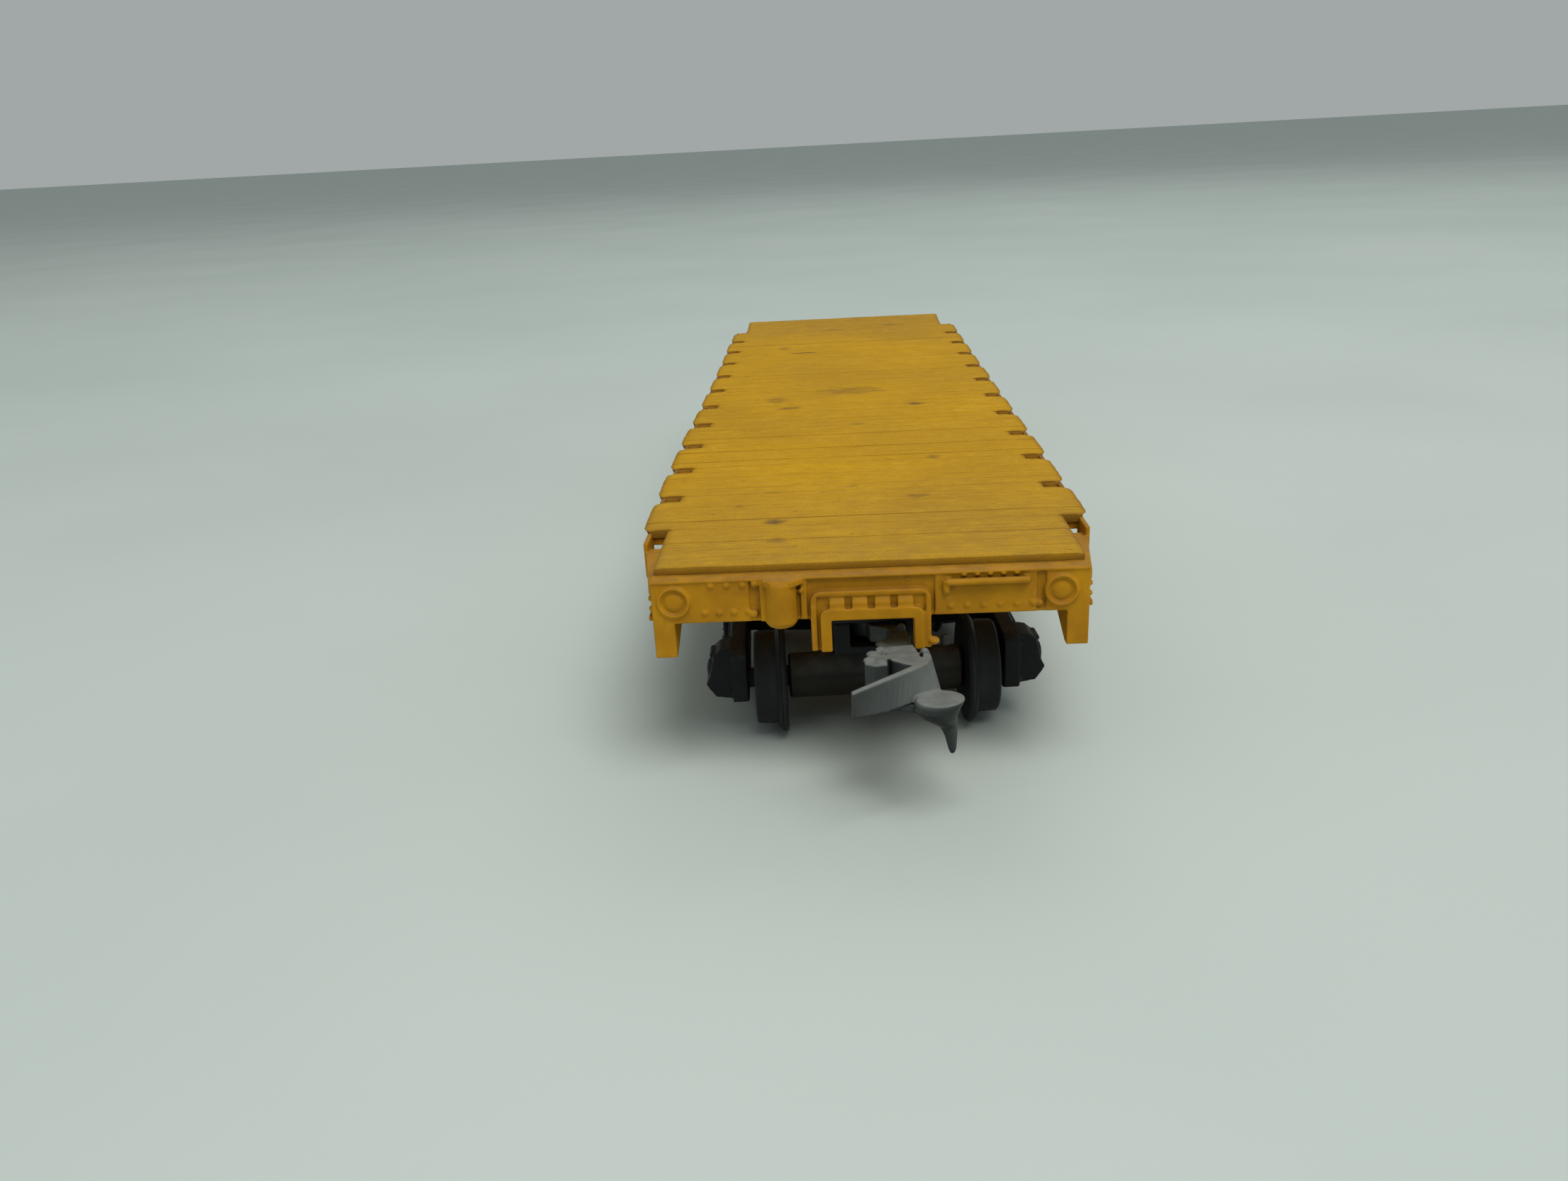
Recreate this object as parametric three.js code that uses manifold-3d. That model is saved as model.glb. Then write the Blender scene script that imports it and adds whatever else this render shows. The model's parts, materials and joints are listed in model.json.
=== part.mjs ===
// HO scale flat car: a planked plastic deck body with stake pockets, a steel weight, an underframe,
// and two swivelling trucks that carry the wheelsets and the horn-hook couplers.
// Units are millimetres. The origin is the middle of the car on the plane of the wheel bottoms,
// +Y runs along the car, +Z is up. End A is at -Y, and end B is end A turned half round about Z.
import * as THREE from "three";
import { mergeVertices } from "three/addons/utils/BufferGeometryUtils.js";
import Module from "manifold-3d";

const wasm = await Module();
wasm.setup();

// ---------------------------------------------------------------- driving dimensions
const LENGTH = 126; // over the end sills, 36 scale feet
const TAB_HALF_WIDTH = 17.85; // deck over its full-width boards
const DECK_HALF_WIDTH = 15.8; // deck at its ends and in the notches
const DECK_TOP = 17.0; // above the wheel bottoms
const BOARD = 0.7; // board thickness, seen at the deck's ends
const END_LEDGE = 1.4; // the end sill stands this far past the boards
const SILL_BOTTOM = DECK_TOP - 4.1;
const STEP_BOTTOM = DECK_TOP - 6.8; // corner steps
const LEG_BOTTOM = DECK_TOP - 6.55; // coupler pocket legs

const POCKET_PITCH = 9.72;
const TAB_COUNT = 11;
const NOTCH = 1.74; // gap between two deck tabs

const TRUCK_CENTRE = 18.46; // kingpin behind the end face
const HALF_WHEELBASE = 9.65;
const WHEEL_BACK = 7.25; // half the 14.5 mm back to back of the wheels
const TREAD_RADIUS = 3.85;
const FLANGE_RADIUS = 4.6; // the car stands on its flanges, so this is the axle height too
const COUPLER_REACH = 10.96; // coupler pivot ahead of the kingpin
const TRUCK_YAW = 3; // degrees, as the car stands
const COUPLER_SWING = 6; // degrees, as the car stands

const SEAT_GAP = 0.15; // between pieces that sit on each other
const PIN_GAP = 0.2; // round a pin in its hole

// ---------------------------------------------------------------- solids and shapes
function solid(geometry) {
  const flat = geometry.index ? geometry.toNonIndexed() : geometry.clone();
  flat.deleteAttribute("normal");
  flat.deleteAttribute("uv");
  const merged = mergeVertices(flat, 1e-4);
  return new wasm.Manifold(
    new wasm.Mesh({
      numProp: 3,
      vertProperties: new Float32Array(merged.attributes.position.array),
      triVerts: new Uint32Array(merged.index.array),
    }),
  );
}

// Joins the geometries into one solid, then cuts the others out of it.
function joined(added, removed = []) {
  const body = added.map(solid).reduce((sum, piece) => sum.add(piece));
  return removed.map(solid).reduce((rest, tool) => rest.subtract(tool), body);
}

function piece(name, made, material) {
  const { vertProperties, triVerts, numProp } = made.getMesh();
  const positions = new Float32Array((vertProperties.length / numProp) * 3);
  for (let i = 0; i < positions.length / 3; i++)
    positions.set(vertProperties.subarray(i * numProp, i * numProp + 3), i * 3);
  const geometry = new THREE.BufferGeometry();
  geometry.setAttribute("position", new THREE.BufferAttribute(positions, 3));
  geometry.setIndex(new THREE.BufferAttribute(new Uint32Array(triVerts), 1));
  geometry.computeVertexNormals();
  const mesh = new THREE.Mesh(geometry, material);
  mesh.name = name;
  return mesh;
}

function box([x0, x1], [y0, y1], [z0, z1]) {
  return new THREE.BoxGeometry(x1 - x0, y1 - y0, z1 - z0).translate((x0 + x1) / 2, (y0 + y1) / 2, (z0 + z1) / 2);
}

function outline(points) {
  return new THREE.Shape(points.map(([a, b]) => new THREE.Vector2(a, b)));
}

function extruded(shape, depth, curveSegments = 8) {
  return new THREE.ExtrudeGeometry(shape, { depth, bevelEnabled: false, curveSegments });
}

// A plan outline (x, y) raised from z0 to z1.
function planPrism(shape, [z0, z1]) {
  return extruded(shape, z1 - z0).translate(0, 0, z0);
}

// An end-view outline (x, z) drawn out from y0 to y1.
function endPrism(shape, [y0, y1]) {
  return extruded(shape, y1 - y0)
    .rotateX(Math.PI / 2)
    .translate(0, y1, 0);
}

// A side-view outline (y, z) drawn out from x0 to x1.
function sidePrism(shape, [x0, x1]) {
  return extruded(shape, x1 - x0)
    .rotateX(Math.PI / 2)
    .rotateZ(Math.PI / 2)
    .translate(x0, 0, 0);
}

function upright(radius, [z0, z1], x, y, segments = 20) {
  return new THREE.CylinderGeometry(radius, radius, z1 - z0, segments)
    .rotateX(Math.PI / 2)
    .translate(x, y, (z0 + z1) / 2);
}

// A profile of (radius, distance along) points turned about the X axis.
function turnedAboutX(profile, segments) {
  const points = profile.map(([radius, along]) => new THREE.Vector2(radius, along));
  return new THREE.LatheGeometry(points, segments).rotateZ(-Math.PI / 2);
}

function halfTurned(geometries) {
  return geometries.map((geometry) => geometry.clone().rotateZ(Math.PI));
}

function mirroredX([x0, x1]) {
  return [-x1, -x0];
}

// ---------------------------------------------------------------- materials
const bodyYellow = new THREE.MeshStandardMaterial({ color: 0xb28a2c, roughness: 0.55, metalness: 0 });
const truckBlack = new THREE.MeshStandardMaterial({ color: 0x16191b, roughness: 0.5, metalness: 0 });
const wheelBlack = new THREE.MeshStandardMaterial({ color: 0x1b1f21, roughness: 0.45, metalness: 0 });
const axleBrown = new THREE.MeshStandardMaterial({ color: 0x2c2620, roughness: 0.6, metalness: 0 });
const couplerGrey = new THREE.MeshStandardMaterial({ color: 0x83898a, roughness: 0.5, metalness: 0 });
const weightSteel = new THREE.MeshStandardMaterial({ color: 0x6e7072, roughness: 0.5, metalness: 0.9 });
const pinSteel = new THREE.MeshStandardMaterial({ color: 0x9a9c9e, roughness: 0.35, metalness: 0.9 });

// ---------------------------------------------------------------- car body
const HALF_LENGTH = LENGTH / 2;
const FLOOR_TOP = DECK_TOP - BOARD;
const FLOOR_BOTTOM = FLOOR_TOP - 1.0;
const SILL_OUTER = 15.7; // outer face of the side sill's web
const SILL_INNER = 14.9;
const FOOT_FLANGE_OUTER = 16.4; // the sill's bottom flange
const END_HALF_WIDTH = 16.0;
const END_SILL_DEPTH = 1.2;
const STEP_INNER = 14.4; // inner side of a corner step
const HOUSING_RADIUS = 1.2; // brake staff housing on the end sill
const HOUSING_X = -6.3;
const POCKET_WALL = 0.35;
const POCKET_OUTER = 17.5;
const POCKET_HALF = 1.05; // along the car
const POCKET_TOP = DECK_TOP - 0.2;
const POCKET_BOTTOM = DECK_TOP - 3.2;
const LEDGE_TOP = DECK_TOP - 1.05; // ledge beside the narrow ends of the deck
const LEDGE_DEPTH = 0.8;
const END_POCKET = 2.2; // open gap along the car, beside the first tab
const NARROW_END = HALF_LENGTH - END_LEDGE - (TAB_COUNT * POCKET_PITCH - NOTCH) / 2;
const KINGPIN_RADIUS = 1.2;
const BODY_BOSS_RADIUS = 2.6;

const WEIGHT_TOP = FLOOR_BOTTOM - SEAT_GAP;
const WEIGHT_BOTTOM = WEIGHT_TOP - 1.5;
const FRAME_TOP = WEIGHT_BOTTOM - SEAT_GAP; // top of the underframe's plate
const BODY_BOSS_BOTTOM = FRAME_TOP + SEAT_GAP;

const kingpinY = -HALF_LENGTH + TRUCK_CENTRE;

// y of a point that lies a given distance behind end A's face
const behindFace = (distance) => -HALF_LENGTH + distance;

function deckOutline() {
  const deckEnd = HALF_LENGTH - END_LEDGE;
  const rightSide = [[DECK_HALF_WIDTH, -deckEnd]];
  for (let tab = 0; tab < TAB_COUNT; tab++) {
    const middle = (tab - (TAB_COUNT - 1) / 2) * POCKET_PITCH;
    const half = (POCKET_PITCH - NOTCH) / 2;
    rightSide.push([DECK_HALF_WIDTH, middle - half], [TAB_HALF_WIDTH, middle - half]);
    rightSide.push([TAB_HALF_WIDTH, middle + half], [DECK_HALF_WIDTH, middle + half]);
  }
  rightSide.push([DECK_HALF_WIDTH, deckEnd]);
  return outline([...rightSide, ...rightSide.map(([x, y]) => [-x, -y])]);
}

// The middles of the notches between the tabs.
function pocketPlaces() {
  const places = [];
  for (let pocket = 1; pocket < TAB_COUNT; pocket++) places.push((pocket - TAB_COUNT / 2) * POCKET_PITCH);
  return places;
}

function stakePocket(side, y) {
  const hole = POCKET_HALF - POCKET_WALL;
  return {
    added: box(side([SILL_INNER, POCKET_OUTER]), [y - POCKET_HALF, y + POCKET_HALF], [POCKET_BOTTOM, POCKET_TOP]),
    removed: box(side([SILL_OUTER, POCKET_OUTER - POCKET_WALL]), [y - hole, y + hole], [SILL_BOTTOM, DECK_TOP + 1]),
  };
}

// Beside the narrow end of the deck: a ledge that tapers to the corner, and a thin wall that runs on
// from it under the first tab, with an open gap between the wall and the sill.
function endLedge(side) {
  const tabEdge = behindFace(END_LEDGE + NARROW_END);
  const gapStart = tabEdge - END_POCKET;
  const flip = side([0, 1])[0] < 0 ? -1 : 1;
  const ledge = [
    [SILL_INNER, behindFace(0.5)],
    [END_HALF_WIDTH, behindFace(0.5)],
    [POCKET_OUTER, gapStart],
    [SILL_INNER, gapStart],
  ];
  return [
    planPrism(outline(ledge.map(([x, y]) => [flip * x, y])), [LEDGE_TOP - LEDGE_DEPTH, LEDGE_TOP]),
    box(side([POCKET_OUTER - POCKET_WALL, POCKET_OUTER]), [gapStart - 0.4, tabEdge + 0.4], [POCKET_BOTTOM, POCKET_TOP]),
  ];
}

function sideWork() {
  const added = [];
  const removed = [];
  for (const side of [(span) => span, mirroredX]) {
    added.push(box(side([SILL_INNER, SILL_OUTER]), [-HALF_LENGTH + 1, HALF_LENGTH - 1], [SILL_BOTTOM, FLOOR_TOP]));
    added.push(
      box(side([SILL_INNER, FOOT_FLANGE_OUTER]), [-HALF_LENGTH + 2, HALF_LENGTH - 2], [SILL_BOTTOM, SILL_BOTTOM + 0.4]),
    );
    added.push(...endLedge(side), ...halfTurned(endLedge(side)));
    for (const y of pocketPlaces()) {
      const pocket = stakePocket(side, y);
      added.push(pocket.added);
      removed.push(pocket.removed);
    }
  }
  return { added, removed };
}

// A ring with a raised centre on the end sill's face: the poling pocket.
function polingPocket(x, z, radius) {
  const profile = [
    [0, 0],
    [radius, 0],
    [radius, 0.3],
    [radius - 0.35, 0.3],
    [radius - 0.5, 0.1],
    [radius - 0.7, 0.25],
    [0, 0.25],
  ];
  const points = profile.map(([r, out]) => new THREE.Vector2(r, out));
  return new THREE.LatheGeometry(points, 16).rotateX(Math.PI).translate(x, behindFace(0.02), z);
}

// The coupler pocket: an arch with rounded corners, whose two legs hang below the end sill.
function pocketArch({ left, right, top, openLeft, openRight, openTop, corner, bottom }, depth) {
  const shape = new THREE.Shape();
  shape.moveTo(left, bottom);
  shape.lineTo(left, top - corner);
  shape.absarc(left + corner, top - corner, corner, Math.PI, Math.PI / 2, true);
  shape.lineTo(right - corner, top);
  shape.absarc(right - corner, top - corner, corner, Math.PI / 2, 0, true);
  shape.lineTo(right, bottom);
  shape.lineTo(openRight, bottom);
  shape.lineTo(openRight, openTop);
  shape.lineTo(openLeft, openTop);
  shape.lineTo(openLeft, bottom);
  shape.closePath();
  return endPrism(shape, depth);
}

// A gusset under the corner, whose lower edge rises towards the middle of the car.
function cornerStep(side) {
  const shape = outline([
    [behindFace(0), SILL_BOTTOM + 0.1],
    [behindFace(0), STEP_BOTTOM],
    [behindFace(0.9), STEP_BOTTOM],
    [behindFace(5.5), SILL_BOTTOM - 1.0],
    [behindFace(5.5), SILL_BOTTOM + 0.1],
  ]);
  return sidePrism(shape, side([STEP_INNER, END_HALF_WIDTH]));
}

function endWorkA() {
  const face = [behindFace(-0.3), behindFace(0.5)];
  const openings = { openLeft: -2.75, openRight: 3.3, openTop: DECK_TOP - 4.05 };
  const outerArch = { left: -4.3, right: 4.5, top: DECK_TOP - 1.95, corner: 0.7, bottom: LEG_BOTTOM, ...openings };
  const innerArch = { left: -3.5, right: 4.0, top: DECK_TOP - 3.0, corner: 0.6, bottom: LEG_BOTTOM, ...openings };
  const added = [
    box([-END_HALF_WIDTH, END_HALF_WIDTH], [behindFace(0), behindFace(END_SILL_DEPTH)], [SILL_BOTTOM, FLOOR_TOP]),
    pocketArch(outerArch, [behindFace(-0.2), behindFace(END_SILL_DEPTH)]),
    pocketArch(innerArch, [behindFace(-0.5), behindFace(0.4)]),
    cornerStep(mirroredX),
    cornerStep((span) => span),
    polingPocket(-14.2, DECK_TOP - 2.4, 1.2),
    polingPocket(13.8, DECK_TOP - 2.5, 1.1),
    // brake staff housing: a half-round column with a domed foot
    upright(HOUSING_RADIUS, [SILL_BOTTOM, DECK_TOP - 1.0], HOUSING_X, behindFace(0.1), 16),
    new THREE.SphereGeometry(HOUSING_RADIUS, 16, 8)
      .rotateX(Math.PI / 2)
      .scale(1, 1, 0.45)
      .translate(HOUSING_X, behindFace(0.1), SILL_BOTTOM),
    // grab iron, its bracket, and the two upright ribs
    box([5.3, 11.5], face, [DECK_TOP - 1.52, DECK_TOP - 1.18]),
    box([5.2, 5.6], face, [DECK_TOP - 1.85, DECK_TOP - 0.9]),
    box([12.2, 12.7], face, [DECK_TOP - 3.9, DECK_TOP - 0.9]),
    box([-8.4, -7.85], face, [DECK_TOP - 3.9, DECK_TOP - 0.9]),
    // small nub low on the outside of the right leg
    box([4.4, 4.95], [behindFace(-0.1), behindFace(0.8)], [LEG_BOTTOM + 0.15, LEG_BOTTOM + 0.6]),
    upright(BODY_BOSS_RADIUS, [BODY_BOSS_BOTTOM, FLOOR_BOTTOM + 0.3], 0, kingpinY, 24),
  ];
  const removed = [
    box([-2.75, 3.3], [behindFace(-1), behindFace(2)], [LEG_BOTTOM - 1, DECK_TOP - 4.05]),
    // shallow recess over the arch
    box([-4.3, 4.6], [behindFace(-1), behindFace(0.25)], [DECK_TOP - 1.95, DECK_TOP - 0.95]),
    upright(KINGPIN_RADIUS + PIN_GAP, [BODY_BOSS_BOTTOM - 1, DECK_TOP - 0.8], 0, kingpinY, 20),
  ];
  return { added, removed };
}

function carBody() {
  const sides = sideWork();
  const end = endWorkA();
  const floor = box([-SILL_INNER - 0.2, SILL_INNER + 0.2], [-HALF_LENGTH + 1, HALF_LENGTH - 1], [FLOOR_BOTTOM, FLOOR_TOP]);
  const deck = planPrism(deckOutline(), [FLOOR_TOP, DECK_TOP]);
  return joined(
    [floor, deck, ...sides.added, ...end.added, ...halfTurned(end.added)],
    [...sides.removed, ...end.removed, ...halfTurned(end.removed)],
  );
}

// ---------------------------------------------------------------- weight and underframe
const FRAME_PLATE = 0.7;
const FRAME_HALF_LENGTH = 52;
const FRAME_BOSS_BOTTOM = 8.9;
const BOLSTER_HALF = 2.2; // along the car

function weightPlate() {
  return joined([box([-10, 10], [-40, 40], [WEIGHT_BOTTOM, WEIGHT_TOP])]);
}

function frameBossA() {
  const bolster = outline([
    [-13.8, FRAME_TOP],
    [-13.8, FRAME_TOP - 0.9],
    [-4.2, FRAME_BOSS_BOTTOM + 1.0],
    [4.2, FRAME_BOSS_BOTTOM + 1.0],
    [13.8, FRAME_TOP - 0.9],
    [13.8, FRAME_TOP],
  ]);
  return {
    added: [
      endPrism(bolster, [kingpinY - BOLSTER_HALF, kingpinY + BOLSTER_HALF]),
      upright(3.0, [FRAME_BOSS_BOTTOM, FRAME_TOP - 0.1], 0, kingpinY, 24),
    ],
    removed: [upright(KINGPIN_RADIUS + PIN_GAP, [FRAME_BOSS_BOTTOM - 1, FRAME_TOP + 1], 0, kingpinY, 20)],
  };
}

// A plate with a fish-bellied centre sill, cross bearers and stringers below it.
function underframe() {
  const plate = box([-13.8, 13.8], [-FRAME_HALF_LENGTH, FRAME_HALF_LENGTH], [FRAME_TOP - FRAME_PLATE, FRAME_TOP]);
  const bellyTop = FRAME_TOP - FRAME_PLATE + 0.1;
  const belly = outline([
    [-41, bellyTop],
    [-36, bellyTop - 1.0],
    [-18, bellyTop - 3.4],
    [18, bellyTop - 3.4],
    [36, bellyTop - 1.0],
    [41, bellyTop],
  ]);
  const bearer = outline([
    [-13.8, bellyTop],
    [-13.8, bellyTop - 0.6],
    [-2, bellyTop - 2.2],
    [2, bellyTop - 2.2],
    [13.8, bellyTop - 0.6],
    [13.8, bellyTop],
  ]);
  const added = [plate];
  for (const x of [-2.6, 1.8]) added.push(sidePrism(belly, [x, x + 0.8]));
  for (const y of [-23, -7.7, 7.7, 23]) added.push(endPrism(bearer, [y - 0.4, y + 0.4]));
  for (const x of [-8.6, 8.0]) added.push(box([x, x + 0.6], [-32, 32], [bellyTop - 0.9, bellyTop]));
  const boss = frameBossA();
  return joined(
    [...added, ...boss.added, ...halfTurned(boss.added)],
    [...boss.removed, ...halfTurned(boss.removed)],
  );
}

const TRUCK_TOP = FRAME_BOSS_BOTTOM - 0.3; // centre plate and coupler arm
const TRUCK_BOLSTER_BOTTOM = 5.6;
const KINGPIN_HEAD = 0.9;

// A shouldered pin with a round slotted head, pushed up through the truck into the body.
function kingpin() {
  const headTop = TRUCK_BOLSTER_BOTTOM - SEAT_GAP;
  const headBottom = headTop - KINGPIN_HEAD;
  return joined(
    [
      upright(KINGPIN_RADIUS, [headTop - 0.1, DECK_TOP - 1.0], 0, 0),
      upright(2.1, [headBottom, headTop], 0, 0, 24),
    ],
    [box([-0.3, 0.3], [-3, 3], [headBottom - 1, headBottom + 0.4])],
  );
}

// ---------------------------------------------------------------- truck
const FRAME_INNER = 10.4; // inner face of a sideframe
const FRAME_WEB = 11.7; // outer face of a sideframe's web
const PEDESTAL_HALF = 1.9; // along the car
const JOURNAL_HALF = 1.3;
const CHORD_TOP = 7.8;
const AXLE_END_RADIUS = 0.8;
const AXLE_END = 12.4;
const BOX_HALF = 3.4; // coupler box, across
const BOX_FRONT = COUPLER_REACH + 2.9; // ahead of the kingpin
const BOX_BACK = COUPLER_REACH - 2.6;
const BOX_WALL = 0.6;
const BOX_WALL_TOP = 10.5;
const ARM_BOTTOM = TRUCK_TOP - 0.6;

function windowBetween(near, far) {
  return outline([
    [near, CHORD_TOP - 1.3],
    [far, CHORD_TOP - 1.3],
    [far, 4.6],
    [near, 3.4],
  ]);
}

function sideframe() {
  const web = outline([
    [-HALF_WHEELBASE - PEDESTAL_HALF, 3.3],
    [-HALF_WHEELBASE + PEDESTAL_HALF, 3.3],
    [-4.2, 1.9],
    [4.2, 1.9],
    [HALF_WHEELBASE - PEDESTAL_HALF, 3.3],
    [HALF_WHEELBASE + PEDESTAL_HALF, 3.3],
    [HALF_WHEELBASE + PEDESTAL_HALF, CHORD_TOP - 0.4],
    [HALF_WHEELBASE + PEDESTAL_HALF - 0.6, CHORD_TOP],
    [-HALF_WHEELBASE - PEDESTAL_HALF + 0.6, CHORD_TOP],
    [-HALF_WHEELBASE - PEDESTAL_HALF, CHORD_TOP - 0.4],
  ]);
  web.holes.push(windowBetween(4.0, 7.0), windowBetween(-4.0, -7.0));
  const journal = outline([
    [FRAME_INNER, 3.0],
    [11.9, 3.4],
    [13.1, 3.6],
    [13.6, 4.3],
    [13.85, 4.75],
    [13.55, 5.3],
    [13.1, 7.2],
    [12.6, 7.65],
    [11.7, CHORD_TOP],
    [FRAME_INNER, CHORD_TOP],
  ]);
  const added = [sidePrism(web, [FRAME_INNER, FRAME_WEB])];
  const removed = [];
  for (const end of [-1, 1]) {
    const y = end * HALF_WHEELBASE;
    added.push(endPrism(journal, [y - JOURNAL_HALF, y + JOURNAL_HALF]));
    const bearing = [
      [0, FRAME_INNER - 0.5],
      [AXLE_END_RADIUS + PIN_GAP, FRAME_INNER - 0.5],
      [AXLE_END_RADIUS + PIN_GAP, AXLE_END - 0.5],
      [0, AXLE_END + 0.4],
    ];
    removed.push(turnedAboutX(bearing, 12).translate(0, y, FLANGE_RADIUS));
  }
  // spring pack and bolster end, standing out of the web between its columns
  for (const y of [-1.9, 0, 1.9]) added.push(upright(0.8, [2.6, 5.4], FRAME_WEB, y, 12));
  added.push(box([FRAME_INNER, FRAME_WEB + 0.9], [-2.4, 2.4], [5.3, 7.2]));
  added.push(box([FRAME_INNER, FRAME_WEB + 1.0], [-3.3, 3.3], [1.9, 2.7]));
  return { added, removed };
}

// Two sideframes, the bolster between them, and the arm that reaches forward over the axle.
function truckFrame() {
  const right = sideframe();
  const bolster = outline([
    [-FRAME_INNER - 0.1, CHORD_TOP - 0.4],
    [-FRAME_INNER - 0.1, TRUCK_BOLSTER_BOTTOM + 0.3],
    [-5, TRUCK_BOLSTER_BOTTOM],
    [5, TRUCK_BOLSTER_BOTTOM],
    [FRAME_INNER + 0.1, TRUCK_BOLSTER_BOTTOM + 0.3],
    [FRAME_INNER + 0.1, CHORD_TOP - 0.4],
    [4, TRUCK_TOP - 0.3],
    [-4, TRUCK_TOP - 0.3],
  ]);
  const arm = outline([
    [-BOX_HALF, -BOX_FRONT],
    [BOX_HALF, -BOX_FRONT],
    [BOX_HALF, -BOX_BACK],
    [2.4, -BOX_BACK + 1.2],
    [2.4, -1],
    [-2.4, -1],
    [-2.4, -BOX_BACK + 1.2],
    [-BOX_HALF, -BOX_BACK],
  ]);
  return joined(
    [
      endPrism(bolster, [-2.6, 2.6]),
      upright(3.0, [TRUCK_BOLSTER_BOTTOM + 0.5, TRUCK_TOP], 0, 0, 24),
      planPrism(arm, [ARM_BOTTOM, TRUCK_TOP]),
      box([BOX_HALF - BOX_WALL, BOX_HALF], [-BOX_FRONT, -BOX_BACK], [ARM_BOTTOM, BOX_WALL_TOP]),
      box([-BOX_HALF, -BOX_HALF + BOX_WALL], [-BOX_FRONT, -BOX_BACK], [ARM_BOTTOM, BOX_WALL_TOP]),
      box([-BOX_HALF, BOX_HALF], [-BOX_BACK - BOX_WALL, -BOX_BACK], [ARM_BOTTOM, BOX_WALL_TOP]),
      ...right.added,
      ...halfTurned(right.added),
    ],
    [
      upright(KINGPIN_RADIUS + PIN_GAP, [0, 12], 0, 0, 20),
      upright(COUPLER_PIN_RADIUS + PIN_GAP, [ARM_BOTTOM - 1, 12], 0, -COUPLER_REACH, 16),
      ...right.removed,
      ...halfTurned(right.removed),
    ],
  );
}

// ---------------------------------------------------------------- coupler box lid and pin
const LID_BOTTOM = BOX_WALL_TOP + SEAT_GAP;
const LID_TOP = LID_BOTTOM + 0.8;
const COUPLER_PIN_RADIUS = 0.8;

function couplerLid() {
  return joined(
    [box([-BOX_HALF, BOX_HALF], [-BOX_FRONT, -BOX_BACK], [LID_BOTTOM, LID_TOP])],
    [upright(COUPLER_PIN_RADIUS + PIN_GAP, [LID_BOTTOM - 1, LID_TOP + 1], 0, -COUPLER_REACH, 16)],
  );
}

// A rivet through the box floor, the coupler's eye and the lid, with a head at each end.
function couplerPin() {
  return joined([
    upright(COUPLER_PIN_RADIUS, [ARM_BOTTOM - 0.4, LID_TOP + 0.4], 0, -COUPLER_REACH, 16),
    upright(1.3, [LID_TOP + SEAT_GAP, LID_TOP + 0.6], 0, -COUPLER_REACH, 16),
    upright(1.3, [ARM_BOTTOM - 0.6, ARM_BOTTOM - SEAT_GAP], 0, -COUPLER_REACH, 16),
  ]);
}

// ---------------------------------------------------------------- wheelset
const WHEEL_WIDTH = 2.6;
const FLANGE_WIDTH = 0.65;
const BORE_RADIUS = 0.95;

// A disc wheel with a flange on its inner side and dished faces, turned about X from its back face.
function wheel() {
  const profile = [
    [BORE_RADIUS, 0],
    [FLANGE_RADIUS - 0.15, 0],
    [FLANGE_RADIUS, 0.25],
    [TREAD_RADIUS, FLANGE_WIDTH],
    [TREAD_RADIUS - 0.1, WHEEL_WIDTH],
    [3.1, WHEEL_WIDTH],
    [2.9, WHEEL_WIDTH - 0.5],
    [1.8, WHEEL_WIDTH - 0.5],
    [1.6, WHEEL_WIDTH],
    [BORE_RADIUS, WHEEL_WIDTH],
    [BORE_RADIUS, 0],
  ];
  return solid(turnedAboutX(profile, 28));
}

// A thick plastic axle between the wheels, stepped down through them to pointed ends.
function axle() {
  const core = 1.85;
  const shoulder = WHEEL_BACK - SEAT_GAP;
  const seat = BORE_RADIUS - 0.1;
  const right = [
    [core, shoulder],
    [seat, shoulder],
    [AXLE_END_RADIUS, FRAME_INNER],
    [AXLE_END_RADIUS, AXLE_END - 0.7],
    [0, AXLE_END],
  ];
  const left = right.map(([radius, along]) => [radius, -along]).reverse();
  return solid(turnedAboutX([...left, ...right], 18));
}

function wheelset(label) {
  const group = new THREE.Group();
  group.add(piece(`axle_${label}`, axle(), axleBrown));
  for (const [side, turn, x] of [
    ["right", 0, WHEEL_BACK],
    ["left", Math.PI, -WHEEL_BACK],
  ]) {
    const mesh = piece(`wheel_${label}_${side}`, wheel(), wheelBlack);
    mesh.rotation.z = turn;
    mesh.position.x = x;
    group.add(mesh);
  }
  return group;
}

// ---------------------------------------------------------------- coupler
const SHANK = [8.9, 10.1]; // z span
const HORN = [8.7, 11.0];
const KNOB = [8.2, 9.4];
const KNOB_PLACE = [1.68, -14.85];
const KNOB_RADIUS = 1.65;
const KNOB_TAPER = 1.0; // height of the cone below the knob's rim
const PIN_OFFSET = 0.6; // the knob's pin stands off its middle
const HORN_THICKNESS = 0.55;
const HORN_BEVEL = 0.8;
const KNOB_PIN_BOTTOM = 5.2;

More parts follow.
